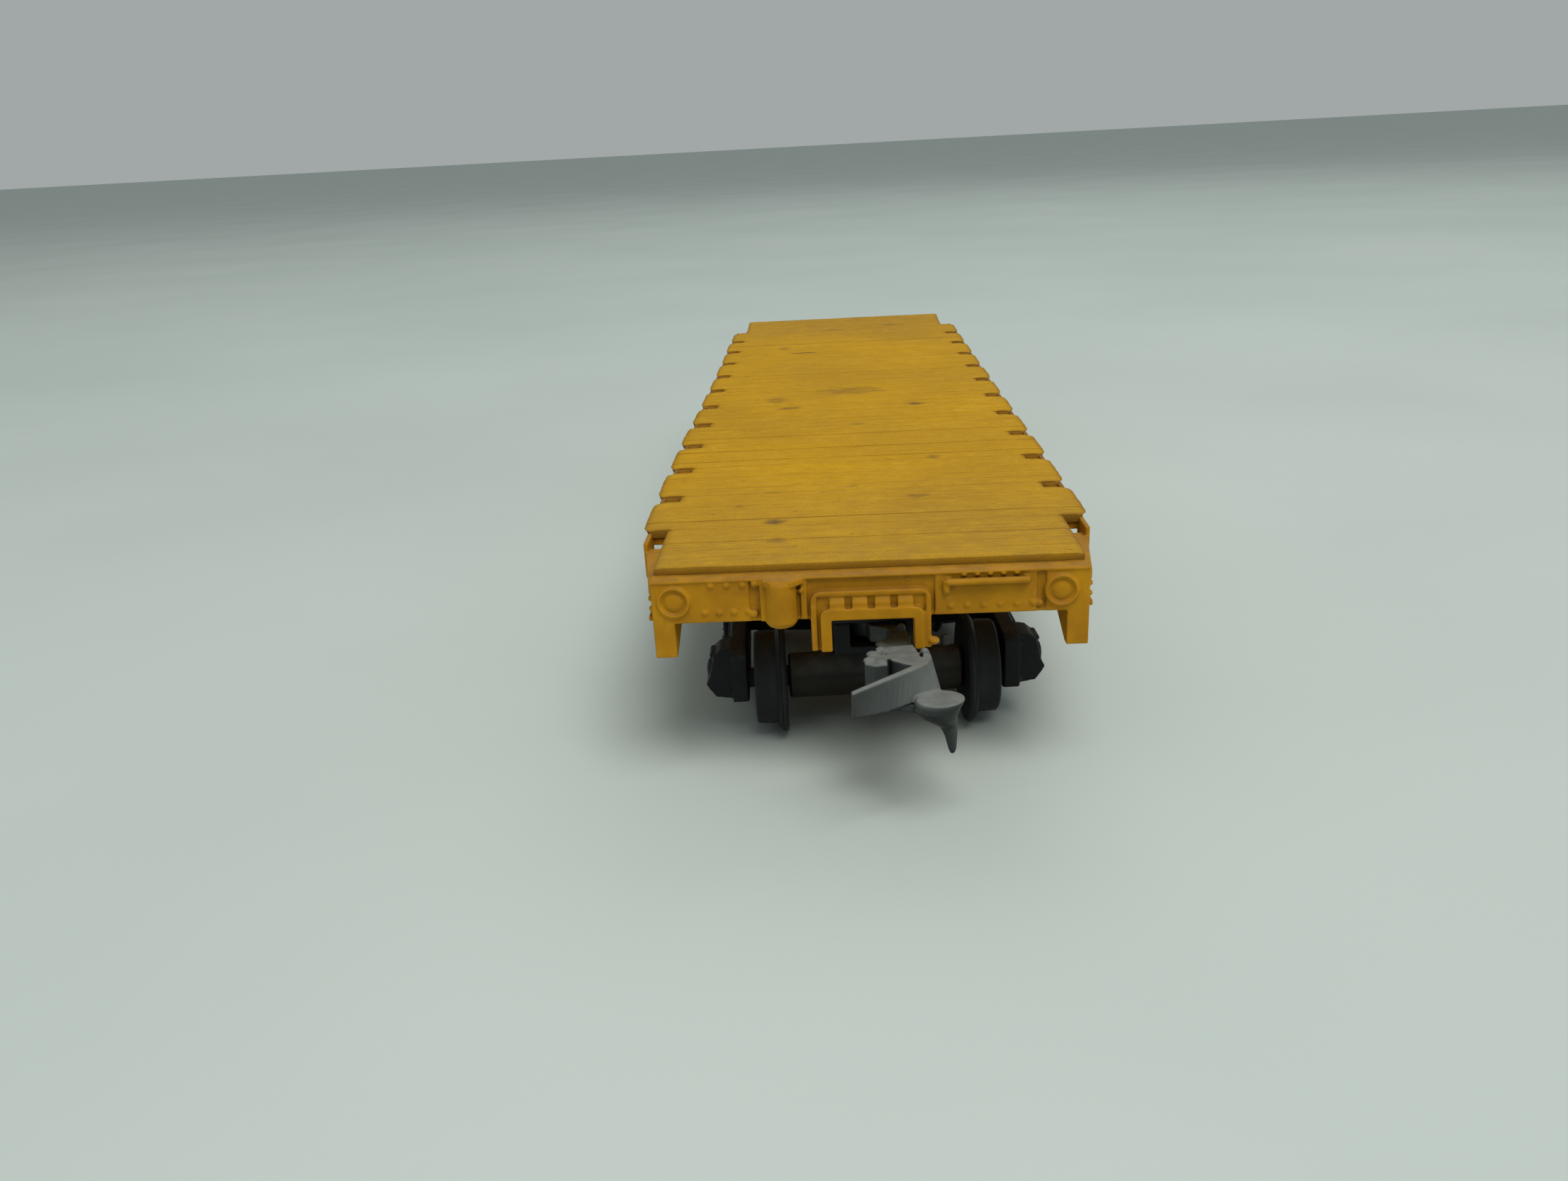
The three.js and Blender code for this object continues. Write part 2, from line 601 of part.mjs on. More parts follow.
// A horn-hook coupler, drawn straight ahead with its pivot at the origin.
function coupler() {
  const shank = outline([
    [-1.0, 1.2],
    [1.0, 1.2],
    [1.0, -2.5],
    [2.1, -4.2],
    [0.9, -9.6],
    [1.85, -10.4],
    [1.85, -11.0],
    [0.2, -12.2],
    [-0.3, -11.2],
    [-1.4, -11.5],
    [-2.6, -10.1],
    [-1.1, -7.0],
    [-0.3, -5.2],
    [-1.0, -2.5],
  ]);
  const ear = outline([
    [-0.4, -8.9],
    [-0.4, -11.3],
    [-1.4, -11.5],
    [-2.6, -10.1],
    [-1.9, -8.9],
  ]);
  const hornStart = new THREE.Vector2(1.9, -10.6);
  const hornEnd = new THREE.Vector2(-4.6, -15.9);
  const along = hornEnd.clone().sub(hornStart).normalize();
  const back = new THREE.Vector2(along.y, -along.x).multiplyScalar(HORN_THICKNESS);
  const bevelled = hornEnd.clone().addScaledVector(along, -HORN_BEVEL);
  const horn = outline([
    [hornStart.x, hornStart.y],
    [hornEnd.x, hornEnd.y],
    [bevelled.x + back.x, bevelled.y + back.y],
    [hornStart.x + back.x, hornStart.y + back.y],
  ]);
  const arm = outline([
    [0.2, -11.4],
    [1.9, -10.8],
    [2.7, -13.6],
    [KNOB_PLACE[0], KNOB_PLACE[1]],
    [0.1, -13.9],
  ]);
  // centring finger: a thin springy strip with a block at its tip
  const finger = outline([
    [0.8, -4.1],
    [3.9, -5.6],
    [4.1, -6.2],
    [4.8, -6.2],
    [4.8, -5.3],
    [4.0, -5.1],
    [0.8, -3.6],
  ]);
  const knobFoot = KNOB[0] - KNOB_TAPER;
  const pinX = KNOB_PLACE[0] + PIN_OFFSET;
  const taper = new THREE.CylinderGeometry(KNOB_RADIUS, 0.7, KNOB_TAPER, 24)
    .rotateX(Math.PI / 2)
    .applyMatrix4(new THREE.Matrix4().makeShear(0, 0, 0, 0, -PIN_OFFSET / KNOB_TAPER, 0))
    .translate((KNOB_PLACE[0] + pinX) / 2, KNOB_PLACE[1], (KNOB[0] + knobFoot) / 2);
  const pin = new THREE.CylinderGeometry(0.75, 0.35, knobFoot + 0.2 - KNOB_PIN_BOTTOM, 12)
    .rotateX(Math.PI / 2)
    .translate(pinX, KNOB_PLACE[1], (knobFoot + 0.2 + KNOB_PIN_BOTTOM) / 2);
  return joined(
    [
      planPrism(shank, SHANK),
      upright(2.0, SHANK, 0, 0, 20),
      planPrism(ear, [SHANK[0], HORN[1]]),
      planPrism(horn, HORN),
      planPrism(arm, [KNOB[0], KNOB[1] - 0.1]),
      upright(KNOB_RADIUS, KNOB, ...KNOB_PLACE, 24),
      taper,
      pin,
      planPrism(finger, [SHANK[0] + 0.4, SHANK[1] - 0.1]),
      upright(0.4, [SHANK[0] + 0.5, 11.2], 1.5, -4.9, 10),
    ],
    [upright(COUPLER_PIN_RADIUS + PIN_GAP, [SHANK[0] - 1, SHANK[1] + 1], 0, 0, 16)],
  );
}

// ---------------------------------------------------------------- assembly
function endAssembly(label) {
  const end = new THREE.Group();
  const king = piece(`kingpin_${label}`, kingpin(), pinSteel);
  king.position.y = kingpinY;
  end.add(king);

  const truck = new THREE.Group();
  truck.position.y = kingpinY;
  truck.rotation.z = THREE.MathUtils.degToRad(TRUCK_YAW);
  truck.add(piece(`truck_frame_${label}`, truckFrame(), truckBlack));
  truck.add(piece(`coupler_lid_${label}`, couplerLid(), truckBlack));
  truck.add(piece(`coupler_pin_${label}`, couplerPin(), pinSteel));
  for (const [number, y] of [
    [1, -HALF_WHEELBASE],
    [2, HALF_WHEELBASE],
  ]) {
    const set = wheelset(`${label}${number}`);
    set.position.set(0, y, FLANGE_RADIUS);
    truck.add(set);
  }
  const swung = piece(`coupler_${label}`, coupler(), couplerGrey);
  swung.position.y = -COUPLER_REACH;
  swung.rotation.z = THREE.MathUtils.degToRad(COUPLER_SWING);
  truck.add(swung);
  end.add(truck);
  return end;
}

const flatCar = new THREE.Group();
flatCar.add(piece("car_body", carBody(), bodyYellow));
flatCar.add(piece("weight_plate", weightPlate(), weightSteel));
flatCar.add(piece("underframe", underframe(), bodyYellow));
flatCar.add(endAssembly("a"));
const endB = endAssembly("b");
endB.rotation.z = Math.PI;
flatCar.add(endB);

export default flatCar;
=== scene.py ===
"""Looks for an HO scale model flat car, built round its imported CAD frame.

Shapes are worked out in millimetres and turned into metres when a piece is made. The car stands
along Y with end A at -Y. End B is end A turned half round about Z.
"""

import json
import math
import random

import bmesh
import bpy
from mathutils import Matrix, Vector, noise


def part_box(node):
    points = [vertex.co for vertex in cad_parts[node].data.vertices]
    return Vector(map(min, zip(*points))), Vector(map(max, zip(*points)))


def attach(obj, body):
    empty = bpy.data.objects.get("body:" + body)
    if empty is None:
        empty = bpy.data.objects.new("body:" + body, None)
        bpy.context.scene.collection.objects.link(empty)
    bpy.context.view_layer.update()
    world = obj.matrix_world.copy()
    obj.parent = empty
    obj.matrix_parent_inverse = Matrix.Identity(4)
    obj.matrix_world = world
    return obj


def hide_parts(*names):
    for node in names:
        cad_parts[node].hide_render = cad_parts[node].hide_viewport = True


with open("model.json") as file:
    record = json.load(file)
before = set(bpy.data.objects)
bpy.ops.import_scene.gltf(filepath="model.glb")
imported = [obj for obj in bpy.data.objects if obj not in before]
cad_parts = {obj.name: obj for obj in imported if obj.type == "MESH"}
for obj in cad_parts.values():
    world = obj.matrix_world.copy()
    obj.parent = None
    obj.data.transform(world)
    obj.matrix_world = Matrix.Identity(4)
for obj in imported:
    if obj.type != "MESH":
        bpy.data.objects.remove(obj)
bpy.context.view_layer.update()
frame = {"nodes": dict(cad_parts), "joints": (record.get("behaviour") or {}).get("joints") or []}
scene = bpy.context.scene

# ---------- sizes taken from the frame
MM = 0.001
TO_MM = Matrix.Scale(1 / MM, 4)
TO_METRES = Matrix.Scale(MM, 4)
JOINTS = {joint["name"]: joint for joint in frame["joints"]}


def node_box(node):
    low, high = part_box(node)
    return low / MM, high / MM


body_low, body_high = node_box("car_body")
TOP = body_high.z  # deck top above the wheel bottoms
TAB_EDGE = body_high.x  # half the deck over its full-width boards
HOUSING_RADIUS = 1.2
HOUSING_PROUD = 0.1
FACE = body_low.y + HOUSING_RADIUS - HOUSING_PROUD  # end A's sill face
DECK_EDGE = 15.8  # half the deck at its ends and in the notches
BOARD = 0.7  # thickness of the deck boards
END_LEDGE = 1.4  # the deck starts this far behind the sill face
PITCH = 9.72  # from one tab of the deck to the next
TABS = 11
NOTCH = 1.74  # width of the notch between two tabs
FLOOR = TOP - BOARD
SILL_FOOT = TOP - 4.1
STEP_FOOT = TOP - 6.8
LEG_FOOT = TOP - 6.55  # feet of the arch over the coupler
SILL_HALF = 16.0  # half the end sill's width
SILL_INNER = 14.9  # inner face of a side wall
SILL_WEB = 15.7  # outer face of a side wall
SILL_FLANGE = 16.4  # outer edge of the flange along a side wall's foot
SILL_THICKNESS = 0.4  # of that flange
POCKET_OUTER = 17.5
TAB_START = -(TABS * PITCH - NOTCH) / 2  # the first tab's edge towards end A
CASTING_LENGTH = 11.3  # the end casting runs this far back, under the first tab


def behind_face(distance):
    return FACE + distance


def rest_turn(joint):
    """How far the joint stands from straight ahead at rest: straight ahead is the middle of its range."""
    low, high = JOINTS[joint]["range_deg"]
    return math.radians(-(low + high) / 2)


def joint_place(joint):
    return Vector(JOINTS[joint]["pos_m"]) / MM


def end_turn(end):
    return Matrix.Rotation(math.pi if end == "b" else 0.0, 4, "Z")


def axes_under(joint, end, turn):
    """Axes on the wheel-bottom plane under a joint of one end of the car, with -Y towards the coupler."""
    x, y, _ = joint_place(joint)
    return Matrix.Translation((x, y, 0.0)) @ end_turn(end) @ Matrix.Rotation(turn, 4, "Z")


def truck_frame_of(end):
    swivel = f"truck_{end}_swivel"
    return axes_under(swivel, end, rest_turn(swivel))


def coupler_frame_of(end):
    swivel, swing = f"truck_{end}_swivel", f"coupler_{end}_swing"
    return axes_under(swing, end, rest_turn(swivel) + rest_turn(swing))


# ---------- shapes in millimetres
def box(bm, xs, ys, zs):
    size = Vector((xs[1] - xs[0], ys[1] - ys[0], zs[1] - zs[0]))
    middle = Vector((xs[0] + xs[1], ys[0] + ys[1], zs[0] + zs[1])) / 2
    bmesh.ops.create_cube(bm, size=1.0, matrix=Matrix.LocRotScale(middle, None, size))


def side_box(bm, side, xs, ys, zs):
    """A box on the left (-1) or right (1) of the car or truck, its x measured outwards."""
    box(bm, sorted((side * xs[0], side * xs[1])), ys, zs)


def join_rings(bm, rings, closes=False):
    """Faces between rings of vertices in order. The last ring meets the first, or both ends are capped."""
    pairs = list(zip(rings, rings[1:]))
    if closes:
        pairs.append((rings[-1], rings[0]))
    for here, there in pairs:
        for i in range(len(here)):
            j = (i + 1) % len(here)
            bm.faces.new((here[i], here[j], there[j], there[i]))
    if not closes:
        bm.faces.new(rings[0])
        bm.faces.new(list(reversed(rings[-1])))


def prism(bm, outline, axis, span):
    """An outline in the plane across an axis, drawn out along that axis over a span."""
    order = {
        "x": lambda a, b, along: (along, a, b),
        "y": lambda a, b, along: (a, along, b),
        "z": lambda a, b, along: (a, b, along),
    }[axis]
    join_rings(bm, [[bm.verts.new(order(a, b, along)) for a, b in outline] for along in span])


def arc(centre, radius, start, end, steps=6):
    """Points on an arc between two angles in degrees."""
    angles = [math.radians(start + (end - start) * i / steps) for i in range(steps + 1)]
    return [(centre[0] + radius * math.cos(a), centre[1] + radius * math.sin(a)) for a in angles]


def rod(bm, start, end, radius, segments):
    start, end = Vector(start), Vector(end)
    turn = (end - start).to_track_quat("Z", "Y")
    bmesh.ops.create_cone(
        bm,
        cap_ends=True,
        segments=segments,
        radius1=radius,
        radius2=radius,
        depth=(end - start).length,
        matrix=Matrix.LocRotScale((start + end) / 2, turn, None),
    )


def lump(bm, centre, size):
    """A smooth rounded lump, such as a rivet head."""
    matrix = Matrix.LocRotScale(Vector(centre), None, Vector(size))
    bmesh.ops.create_icosphere(bm, subdivisions=2, radius=1.0, matrix=matrix)


def lathe(bm, profile, segments, matrix=Matrix()):
    """(radius, along) points turned round Z. The profile closes on itself, or both its ends are capped."""
    closes = profile[0] == profile[-1]
    angles = [2 * math.pi * i / segments for i in range(segments)]
    rings = []
    for radius, along in profile[:-1] if closes else profile:
        circle = [Vector((radius * math.cos(a), radius * math.sin(a), along)) for a in angles]
        rings.append([bm.verts.new(matrix @ point) for point in circle])
    join_rings(bm, rings, closes)


def loft(bm, sections):
    """Closed sections with the same number of points, joined in order and capped."""
    join_rings(bm, [[bm.verts.new(point) for point in section] for section in sections])


def smooth_between(*sections):
    """Adds sections between the given ones, on Catmull-Rom curves through their corners."""
    steps = 6
    ends = [sections[0], *sections, sections[-1]]
    made = []
    for before, here, there, after in zip(ends, ends[1:], ends[2:], ends[3:]):
        for step in range(steps):
            t = step / steps
            weights = (
                0.5 * (-t + 2 * t * t - t**3),
                0.5 * (2 - 5 * t * t + 3 * t**3),
                0.5 * (t + 4 * t * t - 3 * t**3),
                0.5 * (-t * t + t**3),
            )
            points = zip(before, here, there, after)
            made.append([sum((w * Vector(p) for w, p in zip(weights, four)), Vector()) for four in points])
    return [*made, [Vector(p) for p in sections[-1]]]


def copy_of_node(node, matrix):
    """A CAD node's shape in millimetres, moved by a matrix, with its corners welded."""
    bm = bmesh.new()
    bm.from_mesh(frame["nodes"][node].data)
    bm.transform(matrix @ TO_MM)
    bmesh.ops.remove_doubles(bm, verts=bm.verts, dist=0.001)
    return bm


# ---------- meshes and pieces
def mesh_of(bm, name):
    bmesh.ops.recalc_face_normals(bm, faces=bm.faces)
    mesh = bpy.data.meshes.new(name)
    bm.to_mesh(mesh)
    bm.free()
    return mesh


def with_modifiers(mesh, modifiers):
    """The mesh after a list of (kind, settings) modifiers."""
    obj = bpy.data.objects.new("work", mesh)
    scene.collection.objects.link(obj)
    for kind, settings in modifiers:
        modifier = obj.modifiers.new(kind, kind)
        for key, value in settings.items():
            setattr(modifier, key, value)
    graph = bpy.context.evaluated_depsgraph_get()
    made = bpy.data.meshes.new_from_object(obj.evaluated_get(graph))
    bpy.data.objects.remove(obj)
    return made


def moulded(bm, voxel, softening, keep):
    """Fuses overlapping shapes into one skin with soft edges and fillets, as a plastic moulding has."""
    modifiers = [
        ("REMESH", {"mode": "VOXEL", "voxel_size": voxel}),
        ("SMOOTH", {"factor": 0.5, "iterations": softening}),
        ("DECIMATE", {"ratio": keep}),
    ]
    return with_modifiers(mesh_of(bm, "moulding"), modifiers)


def bevelled(bm, width):
    settings = {"width": width, "segments": 2, "limit_method": "ANGLE"}
    return with_modifiers(mesh_of(bm, "bevelled"), [("BEVEL", settings)])


def place(name, mesh, matrix, material, body, replaces=()):
    """Makes one smooth-shaded piece from a mesh in millimetres."""
    own = mesh.copy()
    own.name = name
    own.transform(TO_METRES @ matrix)
    own.materials.clear()
    own.materials.append(material)
    own.polygons.foreach_set("use_smooth", [True] * len(own.polygons))
    own.update()
    obj = bpy.data.objects.new(name, own)
    scene.collection.objects.link(obj)
    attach(obj, body)
    if replaces:
        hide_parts(*replaces)
    return obj


def sharpen(mesh, degrees=35):
    """Smooth shading that stays crisp on edges sharper than an angle."""
    mesh.polygons.foreach_set("use_smooth", [True] * len(mesh.polygons))
    mesh.set_sharp_from_angle(angle=math.radians(degrees))


# ---------- materials
def linear(red, green, blue):
    """An sRGB colour, 0 to 255, as a linear RGBA."""
    def one(value):
        value /= 255
        return value / 12.92 if value <= 0.04045 else ((value + 0.055) / 1.055) ** 2.4
    return (one(red), one(green), one(blue), 1.0)


def new_node(tree, kind, inputs=None, **settings):
    """A shader node whose inputs are linked to other nodes' outputs or set to plain values."""
    made = tree.nodes.new("ShaderNode" + kind)
    for key, value in settings.items():
        setattr(made, key, value)
    for key, value in (inputs or {}).items():
        if isinstance(value, bpy.types.NodeSocket):
            tree.links.new(value, made.inputs[key])
        else:
            made.inputs[key].default_value = value
    return made


class Shader:
    """A node material built up by small calls. Places are the object's own, in millimetres."""

    def __init__(self, name):
        self.material = bpy.data.materials.new(name)
        self.material.use_nodes = True
        self.tree = self.material.node_tree
        self.tree.nodes.clear()
        coordinates = self.node("TexCoord").outputs["Object"]
        self.place = self.node("VectorMath", {0: coordinates, 3: 1 / MM}, operation="SCALE").outputs[0]

    def node(self, kind, inputs=None, **settings):
        return new_node(self.tree, kind, inputs, **settings)

    def noise(self, per_mm, stretch=(1, 1, 1), detail=4.0, shift=0.0):
        """Noise from 0 to 1, so many waves in a millimetre. A small stretch draws it out along an axis."""
        inputs = {"Vector": self.place, "Location": (shift,) * 3, "Scale": [per_mm * s for s in stretch]}
        vector = self.node("Mapping", inputs).outputs[0]
        return self.node("TexNoise", {"Vector": vector, "Scale": 1.0, "Detail": detail}).outputs[0]

    def ramp(self, value, low, high, to_low=0.0, to_high=1.0):
        """A value between low and high, spread evenly over to_low to to_high and held there beyond."""
        inputs = {0: value, 1: low, 2: high, 3: to_low, 4: to_high}
        return self.node("MapRange", inputs, clamp=True).outputs[0]

    def math(self, operation, a, b=0.0, clamp=True):
        return self.node("Math", {0: a, 1: b}, operation=operation, use_clamp=clamp).outputs[0]

    def times(self, a, b):
        return self.math("MULTIPLY", a, b)

    def mix(self, factor, a, b, blend="MIX"):
        return self.node("Mix", {0: factor, 6: a, 7: b}, data_type="RGBA", blend_type=blend).outputs[2]

    def upward(self):
        """How far the surface faces up, from -1 to 1."""
        normal = self.node("NewGeometry").outputs["Normal"]
        return self.node("SeparateXYZ", {0: normal}).outputs["Z"]

    def edges(self):
        """1 on outer edges that rub pale."""
        return self.ramp(self.node("NewGeometry").outputs["Pointiness"], 0.52, 0.62)

    def occlusion_shade(self, reach_mm):
        """1 in corners that nearby surfaces hide: the mask for painted shade."""
        shade = self.node("AmbientOcclusion", {"Distance": reach_mm * MM}, samples=6).outputs["AO"]
        return self.ramp(shade, 0.9, 0.35)

    def attribute(self, name):
        return self.node("Attribute", attribute_name=name).outputs["Fac"]

    def finish(self, colour, roughness, height, height_mm, strength, metallic=0.0, sheen=0.35):
        """Wires up the surface: height is a bump of so many millimetres, sheen its specular level."""
        bump = self.node("Bump", {"Height": height, "Distance": height_mm * MM, "Strength": strength})
        inputs = {
            "Base Color": colour,
            "Roughness": roughness,
            "Metallic": metallic,
            "Specular IOR Level": sheen,
            "Normal": bump.outputs[0],
        }
        shader = self.node("BsdfPrincipled", inputs)
        self.node("OutputMaterial", {0: shader.outputs[0]})
        return self.material


# Colours are sRGB, 0 to 255.
DUST = (150, 152, 146)
BODY_GRIME = (132, 98, 42)
POCKET_GRIME = (112, 76, 28)
RUST = (96, 58, 34)
DECK_YELLOW = (207, 155, 15)
DECK_DEEP = (187, 139, 25)
DECK_PALE = (214, 170, 44)
DECK_BROWN = (128, 88, 18)
# The soil colour serves both the deck's soil marks and its painted shade in corners.
DECK_SOIL_AND_SHADE = (92, 72, 42)
# Painted shade towards both ends of the deck.
DECK_END_SHADE = (130, 110, 70)
FLOOR_PALE = (200, 210, 205)
FLOOR_DEEP = (192, 203, 197)
SHADE_BLACK = (0.006, 0.004, 0.003, 1.0)  # linear RGBA, the near black of the painted shade in corners
END_SHADE_FROM = (34.0, 62.0)  # where the painted shade towards the ends starts and where it is full, from the car's middle


def plastic(name, colours, roughness, dust, corner_shading, sheen, wear=0.5, under=1.0, dust_colour=DUST):
    """Moulded plastic: cloudy colour, fine grain, dust on upward faces, rubbed edges and painted shade in
    corners.

    The colours are the plastic's own, its deeper clouds, and its rubbed edges. A low `under` paints
    shade on what faces down; the corner strength sets how much shade is painted into corners.
    """
    colour, deep, pale = colours
    s = Shader(name)
    clouds = s.ramp(s.noise(0.35, detail=5.0), 0.35, 0.68)
    skin = s.noise(6.0, detail=3.0, shift=4.0)
    speckle = s.ramp(s.noise(2.2, detail=6.0, shift=9.0), 0.56, 0.74)
    tint = s.mix(clouds, linear(*deep), linear(*colour))
    tint = s.mix(s.times(speckle, 0.35), tint, linear(*deep))
    rubbed = s.times(s.edges(), s.ramp(s.noise(1.1, shift=2.0), 0.3, 0.6, 0.2, wear))
    tint = s.mix(rubbed, tint, linear(*pale))
    # Painted shade on faces that point down.
    if under < 1:
        tint = s.mix(1.0, tint, s.ramp(s.upward(), -0.35, 0.4, under, 1.0), "MULTIPLY")
    lying = s.ramp(s.noise(0.9, detail=6.0, shift=6.0), 0.35, 0.7, dust / 2, dust)
    settled = s.times(s.ramp(s.upward(), 0.25, 0.95), lying)
    tint = s.mix(settled, tint, linear(*dust_colour))
    # Painted shade: corners found by ambient occlusion are darkened towards near black.
    shaded_corners = s.times(s.occlusion_shade(0.5), corner_shading)
    tint = s.mix(shaded_corners, tint, s.mix(0.75, tint, SHADE_BLACK))
    rough = s.ramp(skin, 0.3, 0.7, roughness - 0.08, roughness + 0.12)
    return s.finish(tint, rough, skin, 0.012, 0.5, sheen=sheen)


def deck_paint():
    """Painted deck: grain across the car, a tone for each board, soil marks, browner edges and painted
    shade.
    """
    s = Shader("deck_paint")
    streaks = s.ramp(s.noise(1.0, stretch=(0.07, 2.8, 0.3), detail=7.0), 0.35, 0.66)
    hairlines = s.ramp(s.noise(1.0, stretch=(0.12, 5.0, 0.3), detail=6.0, shift=3.0), 0.56, 0.70)
    clouds = s.ramp(s.noise(0.06, stretch=(1.0, 0.7, 1.0), detail=3.0, shift=8.0), 0.38, 0.64)
    mottle = s.noise(0.55, stretch=(1.0, 1.6, 1.0), detail=7.0, shift=12.0)
    worn = s.noise(2.2, stretch=(0.55, 1.3, 1.0), detail=5.0, shift=21.0)
    sand = s.noise(8.0, detail=3.0, shift=15.0)
    specks = s.ramp(s.noise(1.3, stretch=(0.6, 1.0, 1.0), detail=6.0, shift=5.0), 0.66, 0.73)
    blotches = s.times(s.attribute("soil"), s.ramp(mottle, 0.3, 0.6, 0.5, 0.95))
    # Painted shade: corners found by ambient occlusion, mottled.
    corners = s.times(s.occlusion_shade(0.3), s.ramp(mottle, 0.4, 0.62, 0.0, 0.35))
    along = s.node("SeparateXYZ", {0: s.place}).outputs["Y"]
    # Painted shade: a greyer tone towards both ends of the deck.
    near_ends = s.ramp(s.math("ABSOLUTE", along, clamp=False), *END_SHADE_FROM, 0.0, 0.30)
    end_shade = s.times(near_ends, s.ramp(mottle, 0.35, 0.6, 0.6, 1.0))
    # Painted shade: browner where the boards do not face up.
    side_shade = s.ramp(s.upward(), 0.75, 0.2)
    coats = [
        (s.ramp(streaks, 0, 1, 0.0, 0.22), DECK_PALE),
        (s.ramp(mottle, 0.50, 0.66, 0.0, 0.42), DECK_DEEP),
        (s.ramp(mottle, 0.46, 0.30, 0.0, 0.35), DECK_PALE),
        (s.ramp(worn, 0.50, 0.64, 0.0, 0.35), DECK_DEEP),
        (s.ramp(worn, 0.46, 0.34, 0.0, 0.35), DECK_PALE),
        (s.times(hairlines, 0.22), DECK_BROWN),
        (s.ramp(s.attribute("tone"), 0, 1, 0.0, 0.25), DECK_DEEP),
        (s.ramp(sand, 0.50, 0.68, 0.0, 0.42), DECK_BROWN),
        (s.times(specks, 0.45), DECK_BROWN),
        (blotches, DECK_SOIL_AND_SHADE),
        (corners, DECK_SOIL_AND_SHADE),
        (s.times(s.attribute("rim"), 0.75), DECK_BROWN),
        (end_shade, DECK_END_SHADE),
        (s.times(side_shade, 0.6), DECK_BROWN),
    ]
    tint = s.mix(clouds, linear(*DECK_DEEP), linear(*DECK_YELLOW))
    for amount, colour in coats:
        tint = s.mix(amount, tint, linear(*colour))
    height = s.math("SUBTRACT", streaks, s.times(hairlines, 0.8))
    rough = s.ramp(streaks, 0, 1, 0.75, 0.6)
    return s.finish(tint, rough, height, 0.06, 0.7, sheen=0.08)


def steel(name, colour, roughness):
    """Dull turned or rolled steel with brushing and light rust."""
    s = Shader(name)
    brushed = s.noise(1.0, stretch=(0.4, 9.0, 9.0), detail=4.0)
    rust = s.ramp(s.noise(1.1, detail=7.0, shift=5.0), 0.58, 0.72, 0.0, 0.6)
    darker = [value * 0.7 for value in colour]
    tint = s.mix(s.ramp(brushed, 0.3, 0.7, 0.0, 0.5), linear(*colour), linear(*darker))
    tint = s.mix(rust, tint, linear(*RUST))
    rough = s.math("ADD", s.ramp(brushed, 0.3, 0.7, roughness, roughness + 0.2), rust)
    return s.finish(tint, rough, brushed, 0.01, 0.4, metallic=0.85)


def table_top():
    """The pale floor: slightly mottled and dimpled."""
    s = Shader("table_top")
    dimples = s.noise(0.8, detail=3.0)
    clouds = s.ramp(s.noise(0.012, detail=3.0), 0.3, 0.7)
    tint = s.mix(clouds, linear(*FLOOR_PALE), linear(*FLOOR_DEEP))
    return s.finish(tint, 0.55, dimples, 0.05, 0.35, sheen=0.3)


deck_material = deck_paint()
# In these plastics the corner strength paints shade into corners, and a low under paints shade on faces
# that point down.
body_material = plastic(
    "body_yellow", ((206, 146, 23), (180, 123, 23), (206, 152, 52)),
    roughness=0.55, dust=0.75, corner_shading=0.9, sheen=0.12, dust_colour=BODY_GRIME,
)
frame_material = plastic(
    "frame_yellow", ((182, 126, 24), (150, 100, 22), (206, 152, 54)),
    roughness=0.6, dust=0.3, corner_shading=0.7, sheen=0.12, dust_colour=BODY_GRIME,
)
pocket_material = plastic(
    "pocket_yellow", ((168, 114, 22), (146, 96, 20), (190, 138, 48)),
    roughness=0.55, dust=0.85, corner_shading=1.0, sheen=0.12, dust_colour=POCKET_GRIME,
)
truck_material = plastic(
    "truck_black", ((31, 34, 36), (21, 23, 25), (60, 64, 66)),
    roughness=0.5, dust=0.14, corner_shading=0.5, sheen=0.2, under=0.4,
)
wheel_material = plastic(
    "wheel_black", ((35, 39, 41), (25, 28, 30), (62, 67, 69)),
    roughness=0.5, dust=0.1, corner_shading=0.3, sheen=0.25, under=0.5,
)
axle_material = plastic(
    "axle_brown", ((41, 36, 30), (30, 25, 20), (88, 84, 78)),
    roughness=0.42, dust=0.5, corner_shading=0.2, sheen=0.2, wear=0.3,
)
coupler_material = plastic(
    "coupler_grey", ((89, 94, 92), (78, 83, 82), (138, 141, 133)),
    roughness=0.45, dust=0.5, corner_shading=0.8, sheen=0.3, wear=0.15, under=0.05,
)
weight_material = steel("weight_steel", (150, 152, 154), 0.45)
pin_material = steel("pin_steel", (180, 181, 183), 0.3)


# ---------- deck
DECK_END = behind_face(END_LEDGE)
DECK_SPANS = 72  # steps across the car in each board
CROWDING = 0.4  # how much the steps crowd towards the edges, from 0 to 1
GROOVES = (0.006, 0.04)  # least and greatest bevel along a board's long edges
RISES = (-0.018, 0.012)  # lowest and highest board
HALF_GAP = 0.004  # from a board's side to the line between two boards
CROWN = 0.008  # a board's middle stands this far above its long edges
UNEVEN = 0.022  # waviness of the top
WANDER = 0.03  # waviness of the long edges
TAB_BULGES = {-1: (0.35, -28, 22), 1: (0.15, -40, 25)}  # on each side: size, place along the car, reach
TAB_CORNER, TAB_CORNER_REACH = 0.55, 0.35
EDGE_DROOP, EDGE_DROOP_SPANS = 0.10, 1.2  # worn side edges: depth, reach in steps across
END_DROOP, END_DROOP_REACH = 0.16, 0.22
FAR_CURL, FAR_CURL_REACH = 0.5, 9.0  # the far end rises
RIM_REACH = 0.22  # how far in the browner edges reach
